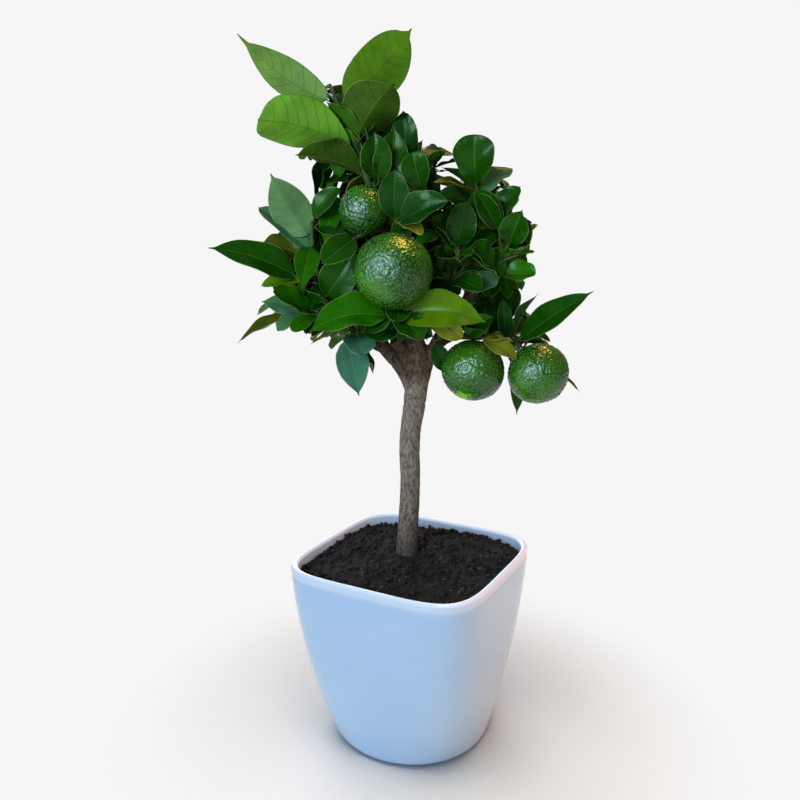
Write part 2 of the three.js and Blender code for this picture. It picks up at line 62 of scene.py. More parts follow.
def linear(code):
    """An sRGB hex colour as linear RGBA."""
    parts = [int(code[i:i + 2], 16) / 255 for i in (1, 3, 5)]
    return [p / 12.92 if p <= 0.04045 else ((p + 0.055) / 1.055) ** 2.4 for p in parts] + [1]


def add_node(tree, kind, inputs=None, ramp=(), **settings):
    """Adds a node with its settings. inputs gives a value, or the socket that feeds it, by input,
    and ramp the place and the hex or linear colour of each stop."""
    node = tree.nodes.new("ShaderNode" + kind)
    for name, value in settings.items():
        setattr(node, name, value)
    for index, (place, colour) in enumerate(ramp):
        if index == len(node.color_ramp.elements):
            node.color_ramp.elements.new(place)
        node.color_ramp.elements[index].position = place
        node.color_ramp.elements[index].color = linear(colour) if isinstance(colour, str) else colour
    for key, value in (inputs or {}).items():
        if isinstance(value, bpy.types.NodeSocket):
            tree.links.new(value, node.inputs[key])
        else:
            node.inputs[key].default_value = value
    return node


def start_material(name, **finish):
    """A material whose principled surface has the finish given. It comes with its node tree, that
    surface, and the socket of the place on the piece."""
    material = bpy.data.materials.new(name)
    material.use_nodes = True
    tree = material.node_tree
    surface = tree.nodes["Principled BSDF"]
    for socket, value in finish.items():
        surface.inputs[socket.replace("_", " ")].default_value = value
    return material, tree, surface, add_node(tree, "TexCoord").outputs["Object"]


def finish_surface(tree, surface, colour, height, strength, depth):
    """Gives a surface its colour, and the bump of a height pattern with its depth in millimetres."""
    bump = add_node(tree, "Bump", {"Height": height, "Strength": strength, "Distance": depth * MM})
    tree.links.new(colour, surface.inputs["Base Color"])
    tree.links.new(bump.outputs["Normal"], surface.inputs["Normal"])


def place_camera():
    camera = bpy.data.objects.new("camera", bpy.data.cameras.new("camera"))
    camera.data.lens = LENS
    camera.data.clip_start = 0.01
    camera.location = Vector(CAMERA_PLACE) * MM
    camera.rotation_euler = (math.radians(90 - CAMERA_TILT), 0, 0)
    scene.collection.objects.link(camera)
    scene.camera = camera


def place_lamp(name, place, target, size, colour, watts, only=(), never=()):
    """A soft rectangular light that faces its target, and may light a few pieces only, or never."""
    lamp = bpy.data.objects.new(name, bpy.data.lights.new(name, "AREA"))
    lamp.data.shape = "RECTANGLE"
    lamp.data.size, lamp.data.size_y = (side * MM for side in size)
    lamp.data.color = linear(colour)[:3]
    lamp.data.energy = watts
    lamp.location = Vector(place) * MM
    lamp.rotation_euler = (Vector(target) - Vector(place)).to_track_quat("-Z", "Y").to_euler()
    lamp.visible_camera = False
    scene.collection.objects.link(lamp)
    if only or never:
        reach = bpy.data.collections.new(name + "_reach")
        for piece in only or never:
            reach.objects.link(piece)
        lamp.light_linking.receiver_collection = reach
        for piece in reach.collection_objects:
            piece.light_linking.link_state = "INCLUDE" if only else "EXCLUDE"
    return lamp


def light_room():
    """The room's walls: cool on the window's side, warm on the other, and plain white in view."""
    scene.view_settings.view_transform = "Standard"
    world = bpy.data.worlds.new("white room")
    scene.world = world
    world.use_nodes = True
    tree = world.node_tree
    tree.nodes.clear()
    place = add_node(tree, "TexCoord")
    side = add_node(tree, "VectorMath", {0: place.outputs["Generated"], 1: (0.9, 0.3, 0.1)},
                    operation="DOT_PRODUCT")
    share = add_node(tree, "MapRange", {"Value": side.outputs["Value"], "From Min": -1, "From Max": 1})
    walls = add_node(tree, "ValToRGB", {"Fac": share.outputs["Result"]},
                     ramp=[(0, "#DCE6F2"), (0.55, "#EDEDED"), (1, "#F8D8B8")])
    glow = add_node(tree, "Background", {"Color": walls.outputs["Color"], "Strength": 0.27})
    plain = add_node(tree, "Background", {"Color": linear(TABLE_WHITE), "Strength": 1})
    seen = add_node(tree, "LightPath")
    both = add_node(tree, "MixShader", {0: seen.outputs["Is Camera Ray"], 1: glow.outputs[0],
                                        2: plain.outputs[0]})
    add_node(tree, "OutputWorld", {"Surface": both.outputs[0]})


def make_table():
    """A white laminate top, which takes a soft shadow near the pot and fades out beyond it."""
    material, tree, surface, place = start_material("white laminate", Roughness=0.7,
                                                    Base_Color=linear("#F2F1F0"))
    distance = add_node(tree, "VectorMath", {0: place}, operation="LENGTH")
    fade = add_node(tree, "MapRange", {
        "Value": distance.outputs["Value"],
        "From Min": SHADE_REACH[0] * MM,
        "From Max": SHADE_REACH[1] * MM,
    }, interpolation_type="SMOOTHSTEP")
    beyond = add_node(tree, "Emission", {"Color": linear(TABLE_WHITE), "Strength": 1})
    both = add_node(tree, "MixShader", {0: fade.outputs["Result"], 1: surface.outputs[0],
                                        2: beyond.outputs[0]})
    tree.links.new(both.outputs[0], tree.nodes["Material Output"].inputs["Surface"])
    mesh = bpy.data.meshes.new("table")
    shape = bmesh.new()
    bmesh.ops.create_circle(shape, cap_ends=True, segments=64, radius=TABLE_RADIUS * MM)
    shape.to_mesh(mesh)
    shape.free()
    mesh.materials.append(material)
    table = bpy.data.objects.new("table", mesh)
    scene.collection.objects.link(table)
    return table


place_camera()
light_room()
table = make_table()
place_lamp("ceiling_lamp", (230, 160, 1100), (0, 0, 350), (260, 260), "#FFC070", 1.4, never=[table])
place_lamp("far_window", (-300, 1100, 600), (0, 0, 300), (900, 700), "#F2F4FF", 6)

# The pot, slip-cast earthenware under a white glaze. Its rounded square rim turns into a circle at
# the foot, with a roll round the lip, and it stands on its flat underside, which takes the same glaze.
POT_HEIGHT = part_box("pot")[1].z / MM
POT_WIDTH = 150  # across the rim's flats
POT_FOOT_RADIUS = 58
POT_BULGE = 1.85
POT_CORNERS = 5
POT_TURN = -28.5
POT_WALL = 4.6
POT_FLOOR = 7
FOOT_ROUND = 7
LIP_HEIGHT = 7
LIP_GROOVE = 0.4
GROOVE_SECTION = ((-1.6, 0.12), (-0.8, 0.55), (0, 1), (0.6, 0.75), (1.3, 0.2), (2.2, 0))
LIP_PAINTED_LIGHT = (132, 138)  # from where to where up the pot the glaze is painted white: painted light on the lip and the top of the inside
POT_COLUMNS = 192
WALL_RINGS = 26


def mix(a, b, share):
    return a + (b - a) * share


def pot_radius(z):
    """Half the pot's width across its flats at a height."""
    return mix(POT_FOOT_RADIUS, POT_WIDTH / 2, 1 - (1 - z / POT_HEIGHT) ** POT_BULGE)


def square_rings(profile, columns):
    """Rings of points for a profile of radius and height, pushed out to a square near the rim."""
    angles = np.linspace(0, 2 * np.pi, columns, endpoint=False)
    cosine, sine = np.cos(angles), np.sin(angles)
    rings = []
    for radius, z in profile:
        power = mix(2, POT_CORNERS, z / POT_HEIGHT)
        push = (abs(cosine) ** power + abs(sine) ** power) ** (-1 / power) * radius
        rings.append(np.stack([push * cosine, push * sine, np.full(columns, z)], axis=1))
    turn = Matrix.Rotation(math.radians(POT_TURN), 3, "Z")
    return np.array(rings) @ np.array(turn.transposed())


class Heap:
    """The points and faces of many shapes, gathered for one mesh."""

    def __init__(self):
        self.points, self.faces, self.slots, self.count = [], [], [], 0

    def add(self, points, faces, slots):
        """Adds a shape, with one material slot for it all or one for each face."""
        points = np.asarray(points, float).reshape(-1, 3)
        self.points.append(points)
        self.faces += [[corner + self.count for corner in face] for face in faces]
        self.slots += slots if isinstance(slots, list) else [slots] * len(faces)
        self.count += len(points)

    def add_rings(self, rings, slot=0):
        """Closed rings of points, joined in order and capped at both ends."""
        rows, columns = rings.shape[:2]
        self.add(rings, ring_faces(rows, columns), slot)

    def mesh(self, name):
        """The mesh of it all, in metres."""
        mesh = bpy.data.meshes.new(name)
        mesh.from_pydata((np.concatenate(self.points) * MM).tolist(), [], self.faces)
        mesh.polygons.foreach_set("material_index", self.slots)
        return mesh

    def piece(self, name, materials, record_slot, replaced):
        """Makes the mesh of it all a piece of the plant."""
        return add_piece(self.mesh(name), materials, replaced)


def add_piece(mesh, materials, replaced):
    """Makes a mesh a piece of the plant, in place of the nodes named, that rides on its body."""
    for material in materials:
        mesh.materials.append(material)
    mesh.polygons.foreach_set("use_smooth", [True] * len(mesh.polygons))
    mesh.update()
    piece = bpy.data.objects.new(mesh.name, mesh)
    scene.collection.objects.link(piece)
    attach(piece, "root")
    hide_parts(*replaced)
    return piece


def ring_faces(rows, columns):
    """Faces between rings that wind upwards, with a cap on the first ring and one on the last."""
    faces = [
        [row * columns + column, row * columns + (column + 1) % columns,
         (row + 1) * columns + (column + 1) % columns, (row + 1) * columns + column]
        for row in range(rows - 1) for column in range(columns)
    ]
    bottom = list(range(columns))[::-1]
    top = [(rows - 1) * columns + column for column in range(columns)]
    return faces + [bottom, top]


def arc(centre, radius, first, last, steps):
    """Points of an arc as radius and height, from the first angle in degrees to the last."""
    angles = np.radians(np.linspace(first, last, steps))
    return [(centre[0] + radius * math.cos(a), centre[1] + radius * math.sin(a)) for a in angles]


def make_glaze():
    """Tin-white glaze over earthenware, fired: glassy, with a faint ripple and a few pinholes. Its pale
    blue, mottled from spot to spot, is painted light: the cool sky that the white glaze mirrors, painted
    into its colour. Towards the lip it is painted whiter, painted light on the lip and inside the rim."""
    material, tree, surface, place = start_material("white glaze", Roughness=0.13, IOR=1.52)
    cloud = add_node(tree, "TexNoise", {"Vector": place, "Scale": 1000 / 60, "Detail": 2})
    # The pale blue is painted light: the cool sky mirrored in the white glaze, mottled from spot to spot.
    painted_sky_blue = add_node(tree, "ValToRGB", {"Fac": cloud.outputs["Fac"]},
                    ramp=[(0, "#BBD3E8"), (1, "#C9DCEC")])
    height = add_node(tree, "SeparateXYZ", {"Vector": place})
    # Painted light: from these heights up the glaze is painted whiter, for the light on the lip and the
    # top of the inside wall.
    thin = add_node(tree, "MapRange", {
        "Value": height.outputs["Z"],
        "From Min": LIP_PAINTED_LIGHT[0] * MM,
        "From Max": LIP_PAINTED_LIGHT[1] * MM,
        "To Max": 0.85,
    }, interpolation_type="SMOOTHSTEP")
    glaze_with_painted_lip_light = add_node(tree, "Mix", {"Factor": thin.outputs["Result"], "A": painted_sky_blue.outputs["Color"],
                                    "B": linear("#EEF0F6")}, data_type="RGBA")
    holes = add_node(tree, "TexVoronoi", {"Vector": place, "Scale": 1000 / 34})
    hole = add_node(tree, "MapRange", {"Value": holes.outputs["Distance"], "From Min": 0.018,
                                       "From Max": 0.03})
    spotted = add_node(tree, "Mix", {"Factor": hole.outputs["Result"], "A": linear("#7D7468"),
                                     "B": glaze_with_painted_lip_light.outputs["Result"]}, data_type="RGBA")
    ripple = add_node(tree, "TexNoise", {"Vector": place, "Scale": 1000 / 9, "Detail": 1})
    finish_surface(tree, surface, spotted.outputs["Result"], ripple.outputs["Fac"], 0.05, 1)
    return material


def pot_profile():
    """The pot's section, from the middle of its underside up the wall and down to its floor."""
    foot = []
    for angle in np.linspace(0, math.pi / 2, 9):
        z = FOOT_ROUND * (1 - math.cos(angle))
        foot.append((pot_radius(z) - FOOT_ROUND * (1 - math.sin(angle)), z))
    under_lip = POT_HEIGHT - LIP_HEIGHT
    wall = [(pot_radius(z), z) for z in np.linspace(FOOT_ROUND + 3, under_lip - 2.4, WALL_RINGS)]
    groove = [(pot_radius(under_lip + z) - depth * LIP_GROOVE, under_lip + z)
              for z, depth in GROOVE_SECTION]
    half = POT_WALL / 2
    roll = arc((pot_radius(POT_HEIGHT) - half, POT_HEIGHT - half), half, 0, 180, 15)
    inside = [(pot_radius(z) - POT_WALL, z) for z in np.linspace(under_lip, POT_FLOOR + 4, 12)]
    floor = [(pot_radius(POT_FLOOR) - POT_WALL - 3, POT_FLOOR), (30, POT_FLOOR)]
    return [(2, 0), (30, 0), *foot, *wall, *groove, *roll, *inside, *floor]


pot_heap = Heap()
pot_heap.add_rings(square_rings(pot_profile(), POT_COLUMNS))
pot = pot_heap.piece("glazed_pot", [make_glaze()], "pot_glaze", ["pot"])

# The window's light on the tree, the table and the pot, each at the strength and in the colour that
# shows there. The glaze mirrors a blue sky on the window's side and a warm wall on the other, and
# its inside takes light from above that the crown doesn't stop.
place_lamp("window", (-620, -950, 620), (0, 0, 300), (520, 420), "#CFE2FF", 11.5, never=[pot, table])
place_lamp("skylight", (-60, -150, 1300), (0, 0, 0), (800, 800), "#FFFAF2", 14, only=[table])
place_lamp("sky_on_pot", (-620, -950, 300), (0, 0, 90), (900, 500), "#58BCFF", 5.4, only=[pot])
place_lamp("lamp_on_pot", (660, 300, 110), (0, 0, 60), (700, 560), "#FF6A1C", 2.5, only=[pot])
sky_in_pot = place_lamp("sky_in_pot", (60, -160, 1000), (0, 0, 140), (300, 300), "#E8F0FF", 6, only=[pot])
sky_in_pot.light_linking.blocker_collection = sky_in_pot.light_linking.receiver_collection

# The potting mix, moist peat and bark fines with some grit, poured in and pressed round the trunk.
# Crumbs of it lie loose on top and against the pot's wall.
SOIL_EDGE = 134.2
SOIL_TOP = 137.2
SOIL_GAP = 0.8
SOIL_COLUMNS = 150
SOIL_RINGS = 46
SOIL_LUMP = 1.5  # height of its lumps
SOIL_MOUND = 1.2
MOUND_REACH = 20
TRUNK_FOOT = (-4, 10)
CRUMBS = 2400
CRUMB_SIZES = (0.4, 1.9)
FIBRES = 90
FIBRE_LENGTHS = (3, 9)
FIBRE_RADIUS = 0.13
GRIT = 30
GRIT_SIZES = (0.3, 0.55)
PEAT, FINES, COIR, PERLITE = range(4)  # what the crumbs are, in the order of their materials


def soil_height(x, y):
    """The soil's surface: a low mound at the trunk, lumps of a few millimetres and smaller ones."""
    place = Vector((x, y, 0))
    from_trunk = (x - TRUNK_FOOT[0]) ** 2 + (y - TRUNK_FOOT[1]) ** 2
    mound = SOIL_MOUND * math.exp(-from_trunk / MOUND_REACH ** 2)
    away = max(abs(x), abs(y)) / (POT_WIDTH / 2)
    lumps = noise.fractal(place / 11, 0.9, 2.1, 5) + 0.6 * noise.noise(place / 3.1)
    return mix(SOIL_TOP, SOIL_EDGE, min(1, away) ** 3) + mound + SOIL_LUMP * lumps


def soil_limit(angle):
    """How far the soil reaches from the middle towards an angle, in the pot's own turn."""
    power = mix(2, POT_CORNERS, SOIL_EDGE / POT_HEIGHT)
    push = (abs(math.cos(angle)) ** power + abs(math.sin(angle)) ** power) ** (-1 / power)
    return push * (pot_radius(SOIL_EDGE) - POT_WALL - SOIL_GAP)


def soil_place(share, angle):
    """A point on the soil, at a share of the way from the middle to the wall."""
    radius, turned = share * soil_limit(angle), angle + math.radians(POT_TURN)
    x, y = radius * math.cos(turned), radius * math.sin(turned)
    return [x, y, soil_height(x, y)]


def make_soil_body():
    gap = POT_WALL + SOIL_GAP
    under = [(3, POT_FLOOR + 0.3), (pot_radius(POT_FLOOR) - gap - 3, POT_FLOOR + 0.3)]
    wall = [(pot_radius(z) - gap, z) for z in np.linspace(POT_FLOOR + 12, SOIL_EDGE - 3, 9)]
    body = square_rings([*under, *wall], SOIL_COLUMNS)
    angles = np.linspace(0, 2 * np.pi, SOIL_COLUMNS, endpoint=False)
    shares = np.linspace(1, 0.01, SOIL_RINGS)
    top = np.array([[soil_place(share, angle) for angle in angles] for share in shares])
    heap = Heap()
    heap.add_rings(np.concatenate([body, top]))
    return heap


def crumb_shape(detail):
    """A small ball of triangles, for crumbs."""
    shape = bmesh.new()
    bmesh.ops.create_icosphere(shape, subdivisions=detail, radius=1)
    points = np.array([v.co for v in shape.verts])
    faces = [[v.index for v in face.verts] for face in shape.faces]
    shape.free()
    return points, faces


def scatter_crumbs(heap):
    """Crumbs of peat and bark, dark or brown, sunk a little in the soil, and pale grit."""
    draw = random.Random(7)
    large, small = crumb_shape(2), crumb_shape(1)
    for index in range(CRUMBS + GRIT):
        grit = index >= CRUMBS
        near_wall = draw.random() < 0.2
        share = draw.uniform(0.95, 1.0) if near_wall else math.sqrt(draw.random()) * 0.97
        size = draw.uniform(*GRIT_SIZES) if grit else mix(*CRUMB_SIZES, draw.random() ** 3.2)
        points, faces = large if size > 1.2 else small
        squash = np.array([draw.uniform(0.7, 1.3) for _ in range(3)]) * size
        wobble = np.array([1 + 0.55 * noise.noise(Vector(point) * 1.6 + Vector((index, 0, 0)))
                           for point in points])
        turned = (points * wobble[:, None] * squash) @ np.array(
            Euler([draw.uniform(0, 6.3) for _ in range(3)]).to_matrix())
        place = np.array(soil_place(share, draw.uniform(0, 2 * math.pi)))
        place[2] += size * draw.uniform(0, 0.7)
        kind = PERLITE if grit else draw.choices([PEAT, FINES, COIR], [5, 4, 1])[0]
        heap.add(turned + place, faces, kind)


def scatter_fibres(heap):
    """Thin bent strands of root and coir, which lie on the soil."""
    draw = random.Random(8)
    for _ in range(FIBRES):
        start = np.array(soil_place(math.sqrt(draw.random()) * 0.95, draw.uniform(0, 2 * math.pi)))
        heading, length = draw.uniform(0, 2 * math.pi), draw.uniform(*FIBRE_LENGTHS)
        bend, lift = draw.uniform(-0.9, 0.9), draw.uniform(0.1, 1.1)
        rings = []
        for step in np.linspace(0, 1, 6):
            angle = heading + bend * step
            centre = start + [math.cos(angle) * length * step, math.sin(angle) * length * step,
                              0.6 + lift * math.sin(math.pi * step)]
            radius = FIBRE_RADIUS * (1 - 0.6 * step)
            rings.append([centre + [0, radius * math.cos(a), radius * math.sin(a)]
                          for a in (0, 2.1, 4.2)])
        heap.add_rings(np.array(rings), COIR)


def make_soil_material(name, dark, light, grain):
    """Moist peat: near black, matt, and grainy at the size given in millimetres."""
    material, tree, surface, place = start_material(name, Roughness=0.92)
    fine = add_node(tree, "TexNoise", {"Vector": place, "Scale": 1000 / grain, "Detail": 4})
    tone = add_node(tree, "ValToRGB", {"Fac": fine.outputs["Fac"]}, ramp=[(0.36, dark), (0.68, light)])
    finish_surface(tree, surface, tone.outputs["Color"], fine.outputs["Fac"], 0.9, 1.2)
    return material


peat = make_soil_material("moist peat", "#0E0C0A", "#30281F", 1.8)
bark_fines = make_soil_material("composted bark", "#16110E", "#332820", 1.5)
coir = make_soil_material("coir fibre", "#332A1E", "#5C4C36", 1.5)
perlite = make_soil_material("perlite grit", "#857D70", "#B5AEA2", 0.8)
make_soil_body().piece("potting_mix", [peat], "potting_soil", ["soil"])
crumb_heap = Heap()
scatter_crumbs(crumb_heap)
scatter_fibres(crumb_heap)
crumb_heap.piece("soil_crumbs", [peat, bark_fines, coir, perlite], "potting_soil", ["soil"])

# The trunk and boughs, one piece of living wood under thin grey-brown bark, with fine ridges along
# it, a ring where the top was grafted, and a knot under the fork. Boughs grow out of the trunk.
TRUNK_PATH = [(-4, 10, 130), (-4, 10, 150), (-2, 10, 190), (-2.4, 10, 228), (1, 10, 255), (4, 10, 284)]
TRUNK_RADIUS = 7.4
TRUNK_FLARE = 1.6
TRUNK_HEAD = 1.6
BOUGHS = {
    "bough_leader": ([(4, 10, 276), (0, 9, 300), (-8, 7, 335), (-18, 5, 372), (-28, 2, 402)], 6.4, 3.2),
    "bough_left": ([(1, 10, 266), (-10, 6, 284), (-22, 1, 298), (-40, -3, 318), (-55, -5, 338)], 5.4, 3),
    "bough_right": ([(5, 10, 274), (16, 9, 299), (32, 5, 325), (52, 0, 348)], 5.4, 2.8),
    "bough_back": ([(4, 12, 274), (4, 26, 300), (4, 50, 330)], 4.8, 2.6),
    "bough_back_left": ([(-14, 5, 288), (-28, 24, 310), (-44, 42, 335)], 3.6, 2.4),
    "bough_back_right": ([(18, 8, 303), (34, 28, 322), (50, 44, 345)], 3.6, 2.4),
    "bough_back_top": ([(-10, 7, 342), (-8, 22, 368), (-8, 36, 395)], 3, 2.2),
    "bough_crown": ([(-11, 6, 350), (-4, 5, 372), (2, 4, 394)], 3, 2.2),
    "bough_front": ([(-4, 8, 318), (-5, 0, 326), (-6, -6, 338)], 3, 2.2),
    "bough_centre": ([(20, 8, 307), (24, 0, 321), (26, -9, 338)], 2.8, 2.1),
    "bough_right_top": ([(38, 4, 332), (44, 3, 358), (46, 0, 385)], 2.8, 2),
    "bough_right_low": ([(14, 9, 297), (30, 8, 305), (50, 5, 305)], 3.4, 2.4),
    "bough_left_low": ([(-32, -1, 309), (-44, -6, 312), (-54, -8, 318)], 3, 2.2),
    "bough_low": ([(-20, 2, 296), (-28, -6, 300), (-34, -10, 306)], 2.6, 2),
}
COLLAR = 0.3  # how much wider a bough is where it leaves its bearer
COLLAR_LENGTH = 9
FORK = [  # swellings that fill the fork's crotch, as boughs are given
    ([(4, 10, 280), (4, 9, 292), (2, 8, 306)], 8.8, 5),
    ([(2, 9, 276), (-6, 7, 292), (-14, 4, 303)], 7, 4),
]
WOOD_VOXEL = 0.8
GRAFT_HEIGHT = 255
FORK_HEIGHT = 268
KNOT = (-4.5, 2.5, 275)
BARK_RIDGE = 1.7  # from one ridge of the bark to the next
RIDGE_LENGTH = 9
BARK_BROWNS = (262, 284)  # the heights between which the grey bark turns brown
SOIL_STAIN = (136, 170)  # the heights between which soil has splashed the trunk


class Path:
    """A smooth curve through points, read by the share of its length."""

    def __init__(self, points):
        points = np.array([tuple(p) for p in points], float)
        before, after = 2 * points[0] - points[1], 2 * points[-1] - points[-2]
        self.knots = np.vstack([before, points, after])
        self.steps = np.linspace(0, 1, 201)
        places = self.at_steps(self.steps)
        pieces = np.linalg.norm(np.diff(places, axis=0), axis=1)
        self.lengths = np.concatenate([[0], np.cumsum(pieces)])
        self.length = self.lengths[-1]

    def at_steps(self, steps):
        spans = len(self.knots) - 3
        places = np.atleast_1d(steps) * spans
        first = np.minimum(places.astype(int), spans - 1)
        weight = (places - first)[:, None]
        a, b, c, d = (self.knots[first + i] for i in range(4))
        leave, arrive = (c - a) / 2, (d - b) / 2
        square = -3 * b + 3 * c - 2 * leave - arrive
        cube = 2 * b - 2 * c + leave + arrive
        return b + leave * weight + square * weight ** 2 + cube * weight ** 3

    def step_at(self, shares):
        return np.interp(np.atleast_1d(shares) * self.length, self.lengths, self.steps)

    def at(self, share):
        return self.at_steps(self.step_at(share))[0]

    def tangents(self, shares):
        steps = self.step_at(shares)
        ahead = self.at_steps(np.minimum(steps + 1e-4, 1)) - self.at_steps(np.maximum(steps - 1e-4, 0))
        return ahead / np.linalg.norm(ahead, axis=1)[:, None]

    def tangent(self, share):
        return self.tangents(share)[0]


def tube(path, radius_at, sides, steps):
    """Rings of points round a path, which turn as little as they can from one to the next."""
    shares = np.linspace(0, 1, steps + 1)
    centres, tangents = path.at_steps(path.step_at(shares)), path.tangents(shares)
    side = np.cross(tangents[0], (0.3, 0.9, 0.2))
    angles = np.linspace(0, 2 * np.pi, sides, endpoint=False)
    rings = []
    for share, centre, tangent in zip(shares, centres, tangents):
        side = side - tangent * side.dot(tangent)
        side /= np.linalg.norm(side)
        other = np.cross(tangent, side)
        round_it = np.outer(np.cos(angles), side) + np.outer(np.sin(angles), other)
        rings.append(centre + round_it * radius_at(share))
    return np.array(rings)


def bough_radius(foot, tip, length):
    """A bough's taper, with a collar at its foot."""
    def radius_at(share):
        return mix(foot, tip, share) * (1 + COLLAR * math.exp(-(share * length / COLLAR_LENGTH) ** 2))

    return radius_at


def trunk_radius(share):
    return TRUNK_RADIUS + TRUNK_FLARE * (1 - share) ** 8 + TRUNK_HEAD * share ** 4


def fuse_wood(heap):
    """Fuses the limbs' tubes into one skin with small fillets where they meet."""
    rough = bpy.data.objects.new("rough_wood", heap.mesh("rough_wood"))
    scene.collection.objects.link(rough)
    remesh = rough.modifiers.new("fuse", "REMESH")
    remesh.mode = "VOXEL"
    remesh.voxel_size = WOOD_VOXEL * MM
    soften = rough.modifiers.new("soften", "SMOOTH")
    soften.factor, soften.iterations = 0.5, 8
    shaped = rough.evaluated_get(bpy.context.evaluated_depsgraph_get())
    mesh = bpy.data.meshes.new_from_object(shaped)
    mesh.name = "trunk_and_boughs"
    bpy.data.objects.remove(rough)
    return mesh


def bark_relief(place, limb_place, around):
    """How far the bark stands out at a point: long ridges, broad swellings, the graft's ring and
    the knot."""
    along = Vector((around.x / BARK_RIDGE, around.y / BARK_RIDGE, limb_place / RIDGE_LENGTH))
    ridges = 1 - abs(noise.noise(along)) * 2.4
    warts = noise.fractal(place / 2.6, 0.8, 2.2, 3)
    swell = noise.noise(Vector((around.x / 9, around.y / 9, limb_place / 16)))
    ring = math.exp(-((place.z - GRAFT_HEIGHT - 1.5 * noise.noise(place / 6)) / 1.3) ** 2)
    below_fork = 1 if place.z < FORK_HEIGHT else 0
    knot = math.exp(-(place - Vector(KNOT)).length_squared / 3.2 ** 2)
    return 0.13 * ridges + 0.2 * warts + 0.35 * swell - 0.4 * ring * below_fork + 1.3 * knot


def carve_bark(mesh, paths):
    """Moves each point of the wood's skin out by the relief, which runs along its own limb."""
    centres = [(name, share, path.at(share)) for name, path in paths.items()
               for share in np.linspace(0, 1, max(20, int(path.length / 1.5)))]
    tree = kdtree.KDTree(len(centres))
    for index, (_, _, place) in enumerate(centres):
        tree.insert(place, index)
    tree.balance()
    axes = {name: (Vector(path.tangent(0.5)), path.length) for name, path in paths.items()}
    places, normals = np.empty(len(mesh.vertices) * 3), np.empty(len(mesh.vertices) * 3)
    mesh.vertices.foreach_get("co", places)
    mesh.vertices.foreach_get("normal", normals)
    reliefs = []
    for place in places.reshape(-1, 3) / MM:
        place = Vector(place)
        _, index, _ = tree.find(place)
        name, share, centre = centres[index]
        axis, length = axes[name]
        away = place - Vector(centre)
        flat = axis.rotation_difference(Vector((0, 0, 1))) @ away
        relief = bark_relief(place, share * length + flat.z, flat)
        reliefs.append(relief * min(1, away.length / 6) * MM)
    mesh.vertices.foreach_set("co", places + normals * np.repeat(reliefs, 3))
    mesh.update()


def make_bark():
    """Citrus bark: thin, grey-brown and matt, paler on its ridges, and darker and browner at the fork."""
    material, tree, surface, place = start_material("citrus bark", Roughness=0.82)
    stretched = add_node(tree, "Mapping", {"Vector": place, "Scale": (1, 1, 0.5)})
    streaks = add_node(tree, "TexNoise", {"Vector": stretched.outputs["Vector"], "Scale": 1000 / 1.9,
                                          "Detail": 6, "Roughness": 0.72})
    patches = add_node(tree, "TexNoise", {"Vector": place, "Scale": 1000 / 14, "Detail": 3})
    grey = add_node(tree, "ValToRGB", {"Fac": streaks.outputs["Fac"]},
                    ramp=[(0.35, "#302A24"), (0.68, "#9E907A")])
    brown = add_node(tree, "ValToRGB", {"Fac": streaks.outputs["Fac"]},
                     ramp=[(0.38, "#100C07"), (0.64, "#6E5A3C")])
    height = add_node(tree, "SeparateXYZ", {"Vector": place})
    raised = add_node(tree, "MapRange", {
        "Value": height.outputs["Z"],
        "From Min": BARK_BROWNS[0] * MM,
        "From Max": BARK_BROWNS[1] * MM,
    }, interpolation_type="SMOOTHSTEP")
    mottle = add_node(tree, "Math", {0: raised.outputs["Result"], 1: patches.outputs["Fac"]},
                      operation="ADD")
    edge = add_node(tree, "MapRange", {"Value": mottle.outputs["Value"], "From Min": 0.66,
                                       "From Max": 1.25})
    flecks = add_node(tree, "TexVoronoi", {"Vector": place, "Scale": 1000 / 1.7})
    fleck = add_node(tree, "MapRange", {"Value": flecks.outputs["Distance"], "From Min": 0.34,
                                        "From Max": 0.1, "To Max": 0.5})
    flecked = add_node(tree, "Mix", {"Factor": fleck.outputs["Result"], "A": grey.outputs["Color"],
                                     "B": linear("#A8A195")}, data_type="RGBA")
    wood = add_node(tree, "Mix", {"Factor": edge.outputs["Result"], "A": flecked.outputs["Result"],
                                  "B": brown.outputs["Color"]}, data_type="RGBA")
    low = add_node(tree, "MapRange", {
        "Value": height.outputs["Z"],
        "From Min": SOIL_STAIN[1] * MM,
        "From Max": SOIL_STAIN[0] * MM,
        "To Max": 0.8,
    })
    stained = add_node(tree, "Mix", {"Factor": low.outputs["Result"], "A": wood.outputs["Result"],
                                     "B": linear("#3A3029")}, data_type="RGBA")
    finish_surface(tree, surface, stained.outputs["Result"], streaks.outputs["Fac"], 0.7, 0.7)
    return material


wood_heap = Heap()
trunk_line = Path(TRUNK_PATH)
limb_paths = {"trunk": trunk_line}
wood_heap.add_rings(tube(trunk_line, trunk_radius, 32, 90))
for bough, (points, foot, tip) in BOUGHS.items():
    path = Path(points)
    limb_paths[bough] = path
    wood_heap.add_rings(tube(path, bough_radius(foot, tip, path.length), 20, int(path.length / 2)))
for points, foot, tip in FORK:
    wood_heap.add_rings(tube(Path(points), lambda share: mix(foot, tip, share), 24, 14))
wood_mesh = fuse_wood(wood_heap)
carve_bark(wood_mesh, limb_paths)
add_piece(wood_mesh, [make_bark()], limb_paths)

# The foliage. Each mass is a green stem that carries on from its bough, with twigs that branch from
# it, and stiff waxy leaves on short stalks, set round the twigs in turn. The leaves that face the
# tree's front have their own places; the rest follow the seed, and fill the mass's own space.
LEAF_PARTS = ("face", "underside", "veins", "midrib", "margin")
FACE, UNDERSIDE, VEINS, MIDRIB, MARGIN = range(len(LEAF_PARTS))
